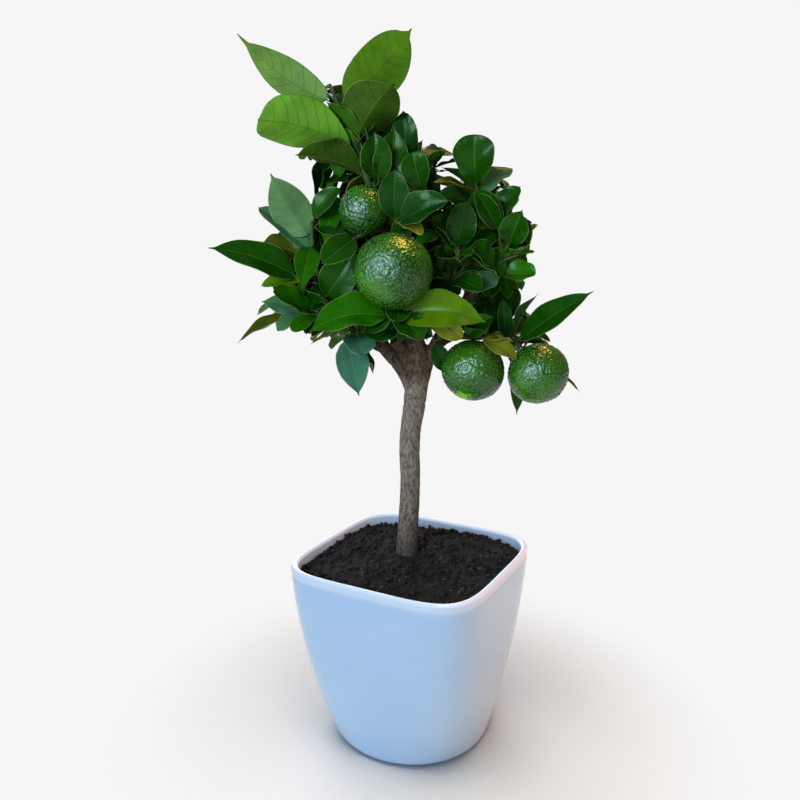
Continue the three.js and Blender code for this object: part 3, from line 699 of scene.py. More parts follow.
# Leaf kinds, with the colour of each part of such a leaf.
LEAF_KINDS = {
    "fresh": ("#68A528", "#68A52C", "#4A8018", "#5A8C2A", "#5F8A38"),
    "young": ("#567E06", "#548208", "#3C7410", "#447A1A", "#4F7A2C"),
    "pale": ("#5D8231", "#6C923E", "#4B7C2A", "#50842E", "#55763A"),
    "bright": ("#266C02", "#3F7A0C", "#34690C", "#4E7E1E", "#6C8C3C"),
    "deep": ("#154A02", "#2E5F06", "#275408", "#3A6A1A", "#6A8648"),
    "dusk": ("#0F420A", "#1F4A0E", "#1A400C", "#2C581C", "#5F7A44"),
    # Grey and teal leaves: their bluish green is a painted sheen, the sky's reflection in the wax painted
    # into their colour.
    "grey": ("#4A7C4E", "#5C8450", "#4E7544", "#5A8452", "#7F9A70"),
    "teal": ("#447C60", "#548660", "#467A5C", "#5A8862", "#7F9A70"),
    "moss": ("#2C5208", "#37580E", "#2A460A", "#4A6A22", "#5F7A3A"),
    "olive": ("#424E04", "#565E10", "#4A520E", "#6A6E24", "#8A8A44"),
    "gold": ("#747E18", "#8E8C2A", "#747826", "#8A8C3C", "#C4BC70"),
}
# Leaf forms: where the blade is widest and how blunt its ends are, as exponents of its outline
# towards the foot and towards the tip, the length of the drawn-out tip and the sideways bow of the
# midrib as shares of the leaf's length, then the fold along the midrib and the curl, in degrees.
LEAF_FORMS = {
    "broad": (0.55, 0.55, 0.03, 0.02, 16, 10),
    "point": (0.6, 0.82, 0.06, -0.03, 14, 12),
    "hook": (0.6, 0.8, 0.1, -0.11, 12, 16),
    "acute": (0.55, 0.55, 0.07, 0.06, 12, 4),
    "left": (0.6, 0.72, 0.05, 0.09, 20, 8),
    "right": (0.6, 0.72, 0.05, -0.09, 20, 8),
    "spoon": (0.85, 0.42, 0, 0, 14, 14),
    "blunt": (0.7, 0.38, 0.015, 0.05, 14, 8),
    "fold": (0.62, 0.6, 0.04, 0.02, 42, 8),
    "cup": (0.6, 0.5, 0, 0, 30, -35),
    "narrow": (0.7, 0.8, 0.05, 0, 34, 6),
}
LEAF_ARCH = 0.06  # of its length, how far the midrib arches up
LEAF_WIDTH = (0.4, 0.5)
LEAF_SPACING = 5
LEAF_TRIES = 4  # turns that are tried for each leaf
LEAF_TURN = 137.5
TURN_JITTER = 20
LEAF_SPREAD = (45, 75)
TIP_SPREAD = (5, 30)
LEAF_ROLL = (-35, 35)
TWIG_RADIUS = 1.3
TWIG_TIP = 0.8
SHOOT_TIP = 0.9
TWIG_RISE = 0.08
TWIG_START = 0.25
TWIG_REACH = (0.36, 0.62)
TWIG_HEIGHTS = (-0.75, 0.95)
TWIG_STAGGER = (0.2, 0.8)
HEADING_JITTER = 10
STEM_LEAD = 5
CLEARANCE = 0.3
STALK_SHARE = 0.09  # of a leaf's length, before its blade
STALK_RADIUS = 0.75
BLADE_THICK = 0.42
MIDRIB_DEPTH = 0.55
MIDRIB_GROOVE = 0.2
VEIN_SLANT = (0.12, 0.2)
VEIN_RELIEF = 0.18
BLADE_COLUMNS = np.array([-1, -0.965, -0.66, -0.34, -0.028, 0.028, 0.34, 0.66, 0.965, 1])
SIDE_VEINS = 5
LONG_LEAF = 45
LONG_LEAF_VEINS = 7
SAME_PLACE = 0.35  # a leaf whose tip lies this near a corner of its mass's solid grew there
SPRIGS = 50  # finer twigs that are tried in a mass
SPRIG_LENGTHS = (8, 24)
SPRIG_RADIUS = 0.9
SPRIG_TIP = 0.6
SPRIG_PLACES = (1, 0.85, 0.6, 0.35)  # where leaves may grow along it
SPRIG_LEAF = (0.85, 1.05)  # the length of its leaves, as a share of the mass's shortest and longest
LEAF_GAP = 2.6  # from any leaf to the next
FRUIT_GAP = 1.5
BOUGH_GAP = 1.5
TRUNK_GAP = 2
LEAF_VIEW = 0.15  # of a shown leaf's length, kept clear round the sight lines to it
LEAF_VIEW_END = 3  # how far in front of a shown leaf those sight lines end
FRUIT_VIEW = 1  # kept clear round a shown fruit
THROUGH = 1000  # how far sight lines run on behind an opening
# Places where the crown is open from front to back: x and z at the trunk's depth, and radius.
OPENINGS = [
    (-56, 501, 13), (-105, 479, 11), (-86, 473, 16), (-112, 434, 10), (-85, 423, 6), (17, 466, 12),
    (24, 443, 5), (-69, 485, 8), (19, 293, 5), (-92, 296, 10), (-111, 328, 6), (-110, 302, 9),
    (-66, 292, 9), (-105, 407, 6), (-115, 346, 6), (-118, 330, 7), (102, 367, 14), (38, 448, 5),
    (92, 421, 7), (-95, 436, 4), (-73, 423, 4), (5, 446, 4), (11, 440, 3), (-108, 328, 4),
    (-81, 300, 4), (-109, 353, 3), (76, 401, 3), (83, 385, 3), (-65, 298, 4), (-22, 297, 4),
    (-2, 299, 7), (80, 329, 5), (88, 320, 4),
]

# The masses. Each has its bough, the middle and the reach of its space, and its stem. Its shown
# leaves stand on the stem, and on shoots given by their share of the stem and their end. A leaf is
# (share, heading, rise, length, width, roll, kind, form). The finer shoots grow here only, not in
# the solids. A fruit is (share of the stem, middle, radius, rows of yellow peel at its tip). The
# rest grows from the seed: twigs in a sector of headings, with leaves of lengths between two.
MASSES = {
    "top": {
        "bough": "bough_leader", "centre": (-60, 8, 448), "reach": (58, 56, 50),
        "stem": [(-37, -3, 430), (-48, -7, 456), (-56, -8, 474)],
        "leaves": [
            (0.85, -176, 34, 76, 25, 65, "pale", "hook"), (0.82, 0, 45, 68, 36, -70, "young", "acute"),
            (0.4, -154, 14, 72, 38, 50, "fresh", "blunt"), (0.5, -50, 38, 54, 38, -30, "moss", "point"),
            (0.2, -150, 13, 54, 26, 30, "moss", "fold"),
        ],
        "finer": [(0.02, (-24, -16, 411), [(1, -102, 72, 33, 21, -165, "deep", "fold")])],
        "seed": 11, "twigs": 3, "sector": (80, 200), "lengths": (34, 50), "sprigs": 12,
    },
    "crown": {
        "bough": "bough_crown", "centre": (0, 6, 412), "reach": (34, 42, 38),
        "stem": [(0, 3, 408), (-2, 2, 425)],
        "leaves": [
            (0.9, -134, 77, 38, 19, -150, "dusk", "broad"), (0.6, 162, 69, 42, 14, 0, "dusk", "fold"),
        ],
        "shoots": [
            (0.3, (-20, -14, 409), [(1, -57, 72, 39, 24, 150, "deep", "point")]),
        ],
        "finer": [
            (0.7, (13, 0, 422), [(1, 0, 12, 24, 12, 0, "dusk", "broad")]),
            (0.2, (6, -20, 404), [(1, -132, 65, 28, 19, -150, "deep", "spoon")]),
        ],
        "seed": 22, "twigs": 4, "sector": (-60, 160), "lengths": (28, 40),
    },
    "right_top": {
        "bough": "bough_right_top", "centre": (46, 2, 398), "reach": (34, 42, 36),
        "stem": [(46, -2, 398), (42, -8, 409)],
        "leaves": [
            (0.95, -106, 67, 36, 28, 180, "deep", "spoon"), (0.7, 20, 40, 32, 18, 30, "grey", "broad"),
            (0.5, 38, 26, 30, 16, 0, "deep", "broad"), (0.75, 178, 35, 32, 13, 10, "dusk", "narrow"),
            (0.55, -154, 17, 40, 15, -20, "olive", "fold"),
            (0.35, -135, 12, 44, 19, -60, "dusk", "broad"),
        ],
        "shoots": [
            (0.1, (57, -15, 382), [(1, -159, 49, 31, 20, -120, "deep", "fold"),
                                   (0.7, -10, 55, 30, 17, 60, "deep", "broad")]),
        ],
        "seed": 33, "twigs": 5, "sector": (-150, 170), "lengths": (26, 36),
    },
    "right": {
        "bough": "bough_right", "centre": (60, 4, 360), "reach": (26, 42, 34),
        "stem": [(60, -4, 358), (68, -4, 370)],
        "shoots": [
            (0.9, (68, -16, 364), [(1, -61, 65, 27, 17, 140, "deep", "broad"),
                                   (0.9, 20, 44, 26, 14, 0, "gold", "cup"),
                                   (0.8, -75, 4, 24, 14, 20, "bright", "cup")]),
            (0.2, (58, -18, 350), [(1, -138, 20, 33, 24, -50, "deep", "cup"),
                                   (0.9, -11, -1, 25, 17, 50, "bright", "cup"),
                                   (0.8, -139, -26, 28, 15, -40, "grey", "point")]),
        ],
        "finer": [
            (0.5, (57, -20, 379), [(1, -161, 56, 33, 19, -80, "deep", "broad")]),
            (0.4, (63, -22, 370), [(1, -65, 57, 26, 19, 140, "deep", "cup")]),
            (0.1, (54, -24, 355), [(1, -151, 33, 25, 20, -58, "deep", "cup")]),
        ],
        "seed": 44, "twigs": 4, "sector": (-70, 160), "lengths": (24, 34),
    },
    "centre": {
        "bough": "bough_centre", "centre": (28, -18, 370), "reach": (36, 42, 44),
        "stem": [(28, -14, 354), (30, -18, 368)],
        "leaves": [
            (1, -158, 46, 30, 16, -60, "deep", "fold"), (1, -76, 65, 34, 20, 160, "dusk", "broad"),
            (0.9, 160, 60, 34, 17, -40, "dusk", "broad"), (0.8, 10, 30, 32, 18, 50, "deep", "broad"),
            (0.3, -60, -10, 32, 18, 30, "deep", "broad"), (0.5, -120, 20, 32, 18, -30, "dusk", "fold"),
        ],
        "seed": 55, "twigs": 4, "sector": (-100, 120), "lengths": (26, 36),
    },
    "fruit_pair": {
        "bough": "bough_right_low", "centre": (74, 22, 300), "reach": (34, 32, 32),
        "stem": [(62, 3, 304), (72, 0, 301)],
        "leaves": [
            (0.15, -127, 18, 32, 18, -30, "dusk", "broad"),
            (0.95, -128, 12, 32, 12, -20, "gold", "broad"),
            (0.75, -116, 71, 33, 11, -150, "dusk", "fold"), (0.9, -29, 62, 40, 15, 0, "dusk", "narrow"),
            (1, -26, 36, 67, 23, 55, "deep", "point"), (0.3, 73, 74, 25, 14, 0, "dusk", "spoon"),
        ],
        "shoots": [
            (0.9, (84, 18, 292), [(1, 3, -36, 52, 16, 20, "olive", "point"),
                                  (0.9, 108, -75, 52, 16, 0, "dusk", "point")]),
        ],
        "finer": [
            (0.05, (46, -12, 307), [(1, -23, -25, 30, 13, 50, "gold", "broad")]),
            (0, (36, -6, 306), [(1, -25, 38, 26, 15, 85, "bright", "fold")]),
            (0, (14, 0, 303), [(1, 17, -61, 29, 14, 105, "dusk", "point")]),
        ],
        "fruit": [(0.1, (42, -9, 283), 22.6, 8), (0.9, (88.4, -9, 281), 22.3, 0)],
        "seed": 66, "twigs": 4, "sector": (40, 150), "lengths": (26, 40),
    },
    "front": {
        "bough": "bough_front", "centre": (-12, -38, 350), "reach": (74, 46, 62),
        "stem": [(-8, -8, 352), (-10, -9, 372), (-14, -12, 392)],
        "shoots": [
            (0.95, (-12, -36, 384), [(0.85, -94, 70, 34, 20, 180, "dusk", "broad"),
                                     (1, -30, 20, 41, 21, 70, "dusk", "fold"),
                                     (0.7, -49, -20, 28, 11, 30, "gold", "broad")]),
            (0.02, (-14, -34, 322), [(0.97, -161, -6, 58, 27, -48, "bright", "right"),
                                     (1, -15, 0, 62, 26, 68, "young", "left"),
                                     (0.9, -50, -25, 32, 20, 30, "deep", "broad"),
                                     (0.8, -135, -28, 26, 15, -10, "deep", "broad"),
                                     (0.7, -15, -20, 44, 16, 20, "gold", "broad"),
                                     (0.6, -90, -20, 26, 18, 0, "deep", "broad")]),
        ],
        "finer": [
            (0.75, (-38, -38, 376), [(1, -141, -31, 32, 19, -50, "deep", "broad")]),
            (0.02, (11, -36, 324), [(1, 0, -34, 26, 14, 98, "gold", "broad"),
                                    (0.8, -13, 9, 30, 16, 30, "olive", "broad")]),
            (0.02, (-8, -24, 318), [(1, -165, -14, 28, 17, -70, "dusk", "broad"),
                                    (0.9, -40, -20, 28, 17, 70, "deep", "fold")]),
        ],
        "fruit": [(0.9, (-14, -43, 354), 26, 0), (1, (-34, -24, 393), 17, 0)],
        "seed": 77, "twigs": 3, "sector": (-160, 20), "lengths": (26, 36),
    },
    "left": {
        "bough": "bough_left", "centre": (-74, 0, 366), "reach": (46, 48, 48),
        "stem": [(-66, -9, 352), (-70, -8, 370), (-70, -5, 386)],
        "leaves": [
            (0.55, 156, 38, 56, 18, -30, "grey", "broad"), (0.5, 154, 17, 46, 20, -50, "olive", "broad"),
            (0.75, -170, 59, 52, 28, 85, "grey", "point"),
            (0.7, -97, -40, 42, 17, -20, "bright", "point"), (1, -9, 49, 30, 16, 60, "deep", "broad"),
        ],
        "shoots": [
            (0.25, (-76, -18, 347), [(1, -167, 20, 66, 24, -55, "deep", "point"),
                                     (0.9, -168, -6, 30, 13, -45, "young", "broad")]),
        ],
        "seed": 88, "twigs": 4, "sector": (20, 190), "lengths": (32, 46),
    },
    "left_low": {
        "bough": "bough_left_low", "centre": (-76, -6, 325), "reach": (44, 44, 30),
        "stem": [(-66, -14, 323), (-80, -12, 323)],
        "leaves": [
            (0.6, -134, 22, 42, 18, -60, "bright", "cup"),
            (0.95, 177, -23, 50, 14, -30, "olive", "point"),
            (0.8, -134, -20, 28, 15, -20, "grey", "broad"),
            (0.45, -126, -16, 30, 13, -20, "bright", "spoon"),
            (0.85, 162, 15, 35, 17, -45, "grey", "point"), (0.3, -126, -25, 24, 15, 0, "dusk", "broad"),
        ],
        "finer": [(0.15, (-62, -20, 333), [(1, -15, 57, 43, 25, 94, "deep", "point")])],
        "seed": 99, "twigs": 3, "sector": (40, 200), "lengths": (24, 36),
    },
    "low": {
        "bough": "bough_low", "centre": (-40, -6, 304), "reach": (34, 40, 26),
        "stem": [(-40, -13, 310), (-46, -16, 309)],
        "leaves": [
            (1, -65, -62, 44, 23, 10, "teal", "point"), (0.7, -77, -14, 34, 22, 0, "teal", "spoon"),
            (0.5, 144, -29, 28, 16, 0, "deep", "broad"),
        ],
        "seed": 110, "twigs": 3, "sector": (60, 180), "lengths": (22, 32),
    },
    "back_left": {
        "bough": "bough_back_left", "centre": (-52, 58, 352), "reach": (52, 54, 62),
        "stem": [(-52, 50, 352), (-56, 54, 374)],
        "seed": 121, "twigs": 7, "sector": (0, 360), "lengths": (34, 54),
    },
    "back": {
        "bough": "bough_back", "centre": (4, 78, 346), "reach": (56, 56, 66),
        "stem": [(4, 60, 348), (2, 66, 370)],
        "fruit": [(0.6, (14, 90, 332), 23, 6)],
        "seed": 132, "twigs": 7, "sector": (0, 360), "lengths": (34, 54),
    },
    "back_right": {
        "bough": "bough_back_right", "centre": (50, 58, 360), "reach": (46, 54, 62),
        "stem": [(58, 52, 362), (62, 54, 384)],
        "fruit": [(0.5, (62, 80, 338), 19, 0)],
        "seed": 143, "twigs": 7, "sector": (0, 360), "lengths": (32, 50),
    },
    "back_top": {
        "bough": "bough_back_top", "centre": (-24, 50, 420), "reach": (52, 52, 46),
        "stem": [(-10, 42, 412), (-14, 44, 430)],
        "seed": 154, "twigs": 6, "sector": (0, 360), "lengths": (34, 50),
    },
}


def direction(heading, rise):
    turn, lift = math.radians(heading), math.radians(rise)
    return np.array((math.cos(lift) * math.cos(turn), math.cos(lift) * math.sin(turn), math.sin(lift)))


def turned_about(vector, axis, degrees):
    return np.array(Matrix.Rotation(math.radians(degrees), 3, Vector(axis)) @ Vector(vector))


class Leaf:
    """A leaf's place and size, with axes along its midrib, across it and up from its face."""

    def __init__(self, foot, along, length, width, roll, kind="deep", form="broad"):
        across = np.cross((0, 0, 1), along)
        across /= np.linalg.norm(across)
        up = np.cross(along, across)
        self.foot, self.along, self.length, self.width = foot, along, length, width
        self.across, self.up = turned_about(across, along, roll), turned_about(up, along, roll)
        self.kind, self.form = kind, form

    def midrib(self, share):
        rise = LEAF_ARCH * self.length * 4 * share * (1 - share)
        return self.foot + self.along * self.length * share + self.up * rise


def twig_path(foot, end):
    middle = (np.array(foot) + end) / 2
    middle[2] += TWIG_RISE * np.linalg.norm(np.array(end) - foot)
    return Path([foot, middle, end])


def seeded(seed):
    """The same draws between two limits as the solids were grown by."""
    state = seed

    def draw(low, high):
        nonlocal state
        state = (state + 0x6D2B79F5) & 0xFFFFFFFF
        bits = ((state ^ (state >> 15)) * (1 | state)) & 0xFFFFFFFF
        bits = ((bits + (((bits ^ (bits >> 7)) * (61 | bits)) & 0xFFFFFFFF)) & 0xFFFFFFFF) ^ bits
        return mix(low, high, ((bits ^ (bits >> 14)) & 0xFFFFFFFF) / 2 ** 32)

    return draw


def draw_leaf(twig, share, turn, lengths, draw):
    """One leaf of a twig, set round it by the turn."""
    tangent = twig.tangent(share)
    side = np.cross((0, 0, 1), tangent)
    side /= np.linalg.norm(side)
    outward = turned_about(side, tangent, turn + draw(-TURN_JITTER, TURN_JITTER))
    spread = math.radians(draw(*(TIP_SPREAD if share == 1 else LEAF_SPREAD)))
    along = tangent * math.cos(spread) + outward * math.sin(spread)
    length = draw(*lengths)
    width = length * draw(*LEAF_WIDTH)
    return Leaf(twig.at(share), along, length, width, draw(*LEAF_ROLL))


class Mass:
    """One mass: its stem, its twigs with the radius at each end, and its leaves."""

    def __init__(self, name, plan):
        self.name, self.plan, self.node = name, plan, "foliage_" + name
        bough, (_, _, tip) = limb_paths[plan["bough"]], BOUGHS[plan["bough"]]
        lead = [bough.at(1) + bough.tangent(1) * gap for gap in (CLEARANCE, STEM_LEAD)]
        self.stem = Path([*lead, *plan["stem"]])
        self.twigs = [(self.stem, tip, TWIG_RADIUS)]
        self.leaves = []
        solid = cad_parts[self.node].data.vertices
        self.corners = kdtree.KDTree(len(solid))
        for index, corner in enumerate(solid):
            self.corners.insert(corner.co / MM, index)
        self.corners.balance()

    def grew(self, leaf):
        """Whether the mass's solid has this leaf."""
        return self.corners.find(leaf.midrib(1))[2] < SAME_PLACE

    def add_shown(self, path, rows, finer=False):
        for share, heading, rise, length, width, roll, kind, form in rows:
            leaf = Leaf(path.at(share), direction(heading, rise), length, width, roll, kind, form)
            if finer or self.grew(leaf):
                self.leaves.append(leaf)

    def start(self):
        self.add_shown(self.stem, self.plan.get("leaves", []))
        for key in ("shoots", "finer"):
            for share, end, rows in self.plan.get(key, []):
                path = twig_path(self.stem.at(share), end)
                self.twigs.append((path, TWIG_RADIUS, SHOOT_TIP))
                self.add_shown(path, rows, key == "finer")

    def grow_twig(self, index, view):
        plan, draw = self.plan, seeded(100 * self.plan["seed"] + index)
        first, last = plan["sector"]
        heading = first + (index * LEAF_TURN) % (last - first) + draw(-HEADING_JITTER, HEADING_JITTER)
        height = mix(*TWIG_HEIGHTS, (index + draw(*TWIG_STAGGER)) / plan["twigs"])
        out = direction(heading, math.degrees(math.asin(height)))
        end = out * plan["reach"] * draw(*TWIG_REACH) + plan["centre"]
        twig = twig_path(self.stem.at(mix(TWIG_START, 1, (index + 1) / plan["twigs"])), end)
        kept = []
        place = 0
        while twig.length - place * LEAF_SPACING > LEAF_SPACING:
            share = 1 - place * LEAF_SPACING / twig.length
            for turn in range(LEAF_TRIES):
                leaf = draw_leaf(twig, share, (place + turn) * LEAF_TURN, plan["lengths"], draw)
                if self.grew(leaf):
                    kept.append(leaf)
                    break
            place += 1
        kept = [leaf for leaf in kept if not view.is_hidden_by(leaf)]
        if kept:
            self.twigs.append((twig, TWIG_RADIUS, TWIG_TIP))
            self.leaves += kept
            deal_kinds(kept, 100 * plan["seed"] + index)

    def is_inside(self, leaf):
        """Whether a leaf keeps to the mass's own space."""
        corners = [leaf.midrib(share) + leaf.across * side * leaf.width / 2
                   for share, side in ((0.3, 1), (0.3, -1), (0.7, 1), (0.7, -1), (1, 0))]
        return all(np.linalg.norm((corner - self.plan["centre"]) / self.plan["reach"]) < 1
                   for corner in corners)

    def grow_sprigs(self, crowd, view):
        limbs = [path for path, _, _ in self.twigs]
        for number in range(self.plan.get("sprigs", SPRIGS)):
            self.grow_sprig(number, limbs, crowd, view)

    def grow_sprig(self, number, limbs, crowd, view):
        """A finer twig, off one of the limbs, with small leaves where there is still room."""
        draw = random.Random(1000 * self.plan["seed"] + number)
        parent = draw.choices(limbs, [path.length for path in limbs])[0]
        share = draw.uniform(0.1, 1)
        foot, tangent = parent.at(share), parent.tangent(share)
        out = turned_about(np.cross(tangent, (0.3, 0.2, 0.9)), tangent, draw.uniform(0, 360))
        out = out / np.linalg.norm(out) + 0.5 * tangent + np.array((0, 0, 0.35))
        sprig = twig_path(foot, foot + out / np.linalg.norm(out) * draw.uniform(*SPRIG_LENGTHS))
        lengths = np.array(self.plan["lengths"]) * SPRIG_LEAF
        kept = []
        for place, at in enumerate(SPRIG_PLACES):
            for turn in range(LEAF_TRIES):
                leaf = draw_leaf(sprig, at, (place + turn) * LEAF_TURN, lengths, draw.uniform)
                if self.is_inside(leaf) and not view.is_hidden_by(leaf) and crowd.has_room(leaf):
                    crowd.add(leaf)
                    kept.append(leaf)
                    break
        if kept:
            self.twigs.append((sprig, SPRIG_RADIUS, SPRIG_TIP))
            self.leaves += kept
            deal_kinds(kept, 1000 * self.plan["seed"] + number)


def leaf_samples(leaf):
    """Points spread over a leaf's blade."""
    return np.array([leaf.midrib(share) + leaf.across * side * leaf.width * wide
                     for share, wide in ((0.35, 0.4), (0.55, 0.45), (0.75, 0.38), (0.95, 0.1))
                     for side in (-1, 0, 1)])


class View:
    """What shows from the front: sight lines to shown leaves and fruit, and through openings."""

    def __init__(self, leaves, fruit):
        ends = [(point, LEAF_VIEW * leaf.length, LEAF_VIEW_END)
                for leaf in leaves for point in leaf_samples(leaf)]
        ends += [(centre, radius + FRUIT_VIEW, 0) for centre, radius in fruit]
        ends += [((x, 0, z), radius, -THROUGH) for x, z, radius in OPENINGS]
        self.ends = np.array([end for end, _, _ in ends])
        self.radii = np.array([radius for _, radius, _ in ends])
        self.gaps = np.array([gap for _, _, gap in ends])
        lines = self.ends - CAMERA_PLACE
        self.reach = np.linalg.norm(lines, axis=1)
        self.lines = lines / self.reach[:, None]

    def is_hidden_by(self, leaf):
        """Whether a leaf comes into any sight line before its end."""
        offsets = leaf_samples(leaf)[:, None] - CAMERA_PLACE
        along = (offsets * self.lines).sum(axis=2)
        apart = np.sqrt(np.maximum((offsets ** 2).sum(axis=2) - along ** 2, 0))
        return bool(((apart < self.radii) & (along < self.reach - self.gaps)).any())


class Crowd:
    """Points on every leaf, and balls that stand for fruit and wood, to find room between them."""

    def __init__(self, leaves, balls):
        self.points = np.concatenate([leaf_samples(leaf) for leaf in leaves])
        self.centres = np.array([centre for centre, _ in balls])
        self.radii = np.array([radius for _, radius in balls])

    def add(self, leaf):
        self.points = np.concatenate([self.points, leaf_samples(leaf)])

    def has_room(self, leaf):
        """Whether a leaf is clear of every other leaf, fruit and limb."""
        points = leaf_samples(leaf)[:, None]
        if (np.linalg.norm(points - self.centres, axis=2) < self.radii).any():
            return False
        return np.linalg.norm(points - self.points, axis=2).min() > LEAF_GAP


def deal_kinds(leaves, seed):
    """Deals a twig's seeded leaves their kinds and forms, by how common each is."""
    # Grey leaves carry a painted sky sheen in their bluish colour.
    kinds = {"deep": 38, "dusk": 22, "bright": 32, "grey": 5, "olive": 2, "gold": 1}
    forms = {"broad": 36, "point": 14, "spoon": 22, "fold": 18, "cup": 10}
    draw = random.Random(seed)
    for leaf in leaves:
        leaf.kind = draw.choices(list(kinds), kinds.values())[0]
        leaf.form = draw.choices(list(forms), forms.values())[0]


def blade_rows(veins, draw):
    """Shares of the blade's length for its rows of points, and which rows start a vein."""
    rows, starts = [0, 0.02, 0.055], set()
    step = 0.8 / veins
    for vein in range(veins):
        centre = 0.09 + step * (vein + 0.35 + draw.uniform(-0.2, 0.2))
        starts.add(len(rows))
        rows += [centre - 0.0045, centre + 0.0045, centre + step / 2]
    return np.array(rows + [0.93, 0.972, 1]), starts


def blade_faces(rows, starts):
    """The faces of a blade, with the part of the leaf that each belongs to."""
    columns = len(BLADE_COLUMNS)
    loop, middle = 2 * columns, (columns - 1) // 2
    faces, parts = [], []
    for row in range(rows - 1):
        for side in range(loop):
            after = (side + 1) % loop
            faces.append([row * loop + side, (row + 1) * loop + side, (row + 1) * loop + after,
                          row * loop + after])
            under = side >= columns
            column = side if not under else loop - 2 - side
            if column in (-1, 0, columns - 2, columns - 1):
                parts.append(MARGIN)
            elif column == middle:
                parts.append(MIDRIB)
            elif under:
                parts.append(VEINS if row in starts else UNDERSIDE)
            else:
                parts.append(FACE)
    faces.append(list(range(loop)))
    faces.append([(rows - 1) * loop + side for side in range(loop)][::-1])
    return faces, parts + [MARGIN, MARGIN]


def blade_outline(leaf, shares):
    """How wide the blade is along its length, as a share of its widest."""
    toward_foot, toward_tip, tail, *_ = LEAF_FORMS[leaf.form]
    widest = toward_foot / (toward_foot + toward_tip)
    most = widest ** toward_foot * (1 - widest) ** toward_tip
    filled = np.minimum(shares / (1 - tail), 1)
    return filled ** toward_foot * (1 - filled) ** toward_tip / most


def blade_points(leaf, rows, starts, draw):
    """The blade's points: each row runs out along the veins, over the face and back under it."""
    *_, tail, bow, fold, curl = LEAF_FORMS[leaf.form]
    sides, rows = BLADE_COLUMNS[None, :], rows[:, None]
    slant = np.where(sides > 0, draw.uniform(*VEIN_SLANT), draw.uniform(*VEIN_SLANT))
    shares = rows + slant * 4 * rows * (1 - rows) * abs(sides) ** 1.3
    outline = blade_outline(leaf, shares)
    tip_width = 0.02 + 0.9 * (1 - shares) * (tail > 0) * (shares > 0.5)
    across = sides * (leaf.width / 2 * np.maximum(outline, tip_width))

    # The halves rise from the midrib, the margin waves, and the face is sunk along the veins.
    filled = np.minimum(1, outline)
    fold = math.radians(fold + draw.uniform(-8, 8))
    wave = draw.uniform(0.03, 0.09) * leaf.width * abs(sides) ** 2 * filled
    wave = wave * np.sin(draw.uniform(9, 14) * shares + 2.2 * sides + draw.uniform(0, 6))
    veined = np.array([[row in starts or row - 1 in starts] for row in range(len(rows))])
    quilt = VEIN_RELIEF * ~veined * np.sin(np.pi * abs(sides)) * filled
    rise = np.sqrt(across ** 2 + 0.5) * math.sin(fold) + wave + quilt
    middle = abs(sides) < 0.1
    thick = BLADE_THICK * (1 - 0.4 * abs(sides)) * np.minimum(1, 4 * outline)
    face = rise - MIDRIB_GROOVE * middle
    underside = rise - thick - MIDRIB_DEPTH * middle * (1 - 0.8 * shares)

    # The whole leaf, stalk and all, arches, droops at its tip, bows to one side and twists.
    along = STALK_SHARE + (1 - STALK_SHARE) * shares
    arch = 4 * along * (1 - along)
    bend = math.radians(curl + draw.uniform(-10, 10))
    droop = 0.5 * bend * np.maximum(along - 0.45, 0) ** 2
    twist = math.radians(draw.uniform(-14, 14)) * (along - 0.5)
    surfaces = []
    for height in (face, underside):
        y = across * np.cos(twist) - height * np.sin(twist) + bow * leaf.length * arch
        z = across * np.sin(twist) + height * np.cos(twist) + leaf.length * (LEAF_ARCH * arch - droop)
        surfaces.append(leaf.foot + leaf.length * along[..., None] * leaf.along
                        + y[..., None] * leaf.across + z[..., None] * leaf.up)
    return np.concatenate([surfaces[0], surfaces[1][:, ::-1]], axis=1)


def grow_leaves(mass, kinds):
    """The mass's leaves as one mesh, in which each kind has a finish for each part of a leaf."""
    heap, draw = Heap(), random.Random(mass.plan["seed"])
    for leaf in mass.leaves:
        veins = LONG_LEAF_VEINS if leaf.length > LONG_LEAF else SIDE_VEINS
        rows, starts = blade_rows(veins, draw)
        faces, parts = blade_faces(len(rows), starts)
        first = kinds.index(leaf.kind) * len(LEAF_PARTS)
        heap.add(blade_points(leaf, rows, starts, draw), faces, [first + part for part in parts])
    return heap


def grow_twigs(mass):
    """The stem, twigs and leaf stalks as one mesh."""
    heap = Heap()
    for path, foot, tip in mass.twigs:
        steps = max(4, int(path.length / 4))
        heap.add_rings(tube(path, lambda share: mix(foot, tip, share), 8, steps))
    for leaf in mass.leaves:
        stalk = Path([leaf.foot, leaf.midrib(STALK_SHARE * 0.6), leaf.midrib(STALK_SHARE + 0.03)])
        heap.add_rings(tube(stalk, lambda share: mix(1, 0.7, share) * STALK_RADIUS, 6, 3))
    return heap


def make_leaf_part(kind, part, code):
    """A leaf's waxy skin: glossy on the face and satin elsewhere, with green glints, and a little
    mottled from spot to spot."""
    roughness, gloss = (0.24, 0.26) if part == "face" else (0.5, 0.3)
    material, tree, surface, place = start_material(
        f"{kind} leaf {part}", Roughness=roughness, IOR=1.42, Specular_IOR_Level=gloss,
        Specular_Tint=linear("#D8FFC8"))
    mottle = add_node(tree, "TexNoise", {"Vector": place, "Scale": 1000 / 12, "Detail": 3})
    base = np.array(linear(code))
    tone = add_node(tree, "ValToRGB", {"Fac": mottle.outputs["Fac"]},
                    ramp=[(0.3, base * (0.72, 0.78, 0.8, 1)), (0.7, base * (1.22, 1.14, 1.05, 1))])
    grain = add_node(tree, "TexNoise", {"Vector": place, "Scale": 1000 / 1.4, "Detail": 2})
    finish_surface(tree, surface, tone.outputs["Color"], grain.outputs["Fac"], 0.25, 0.3)
    return material


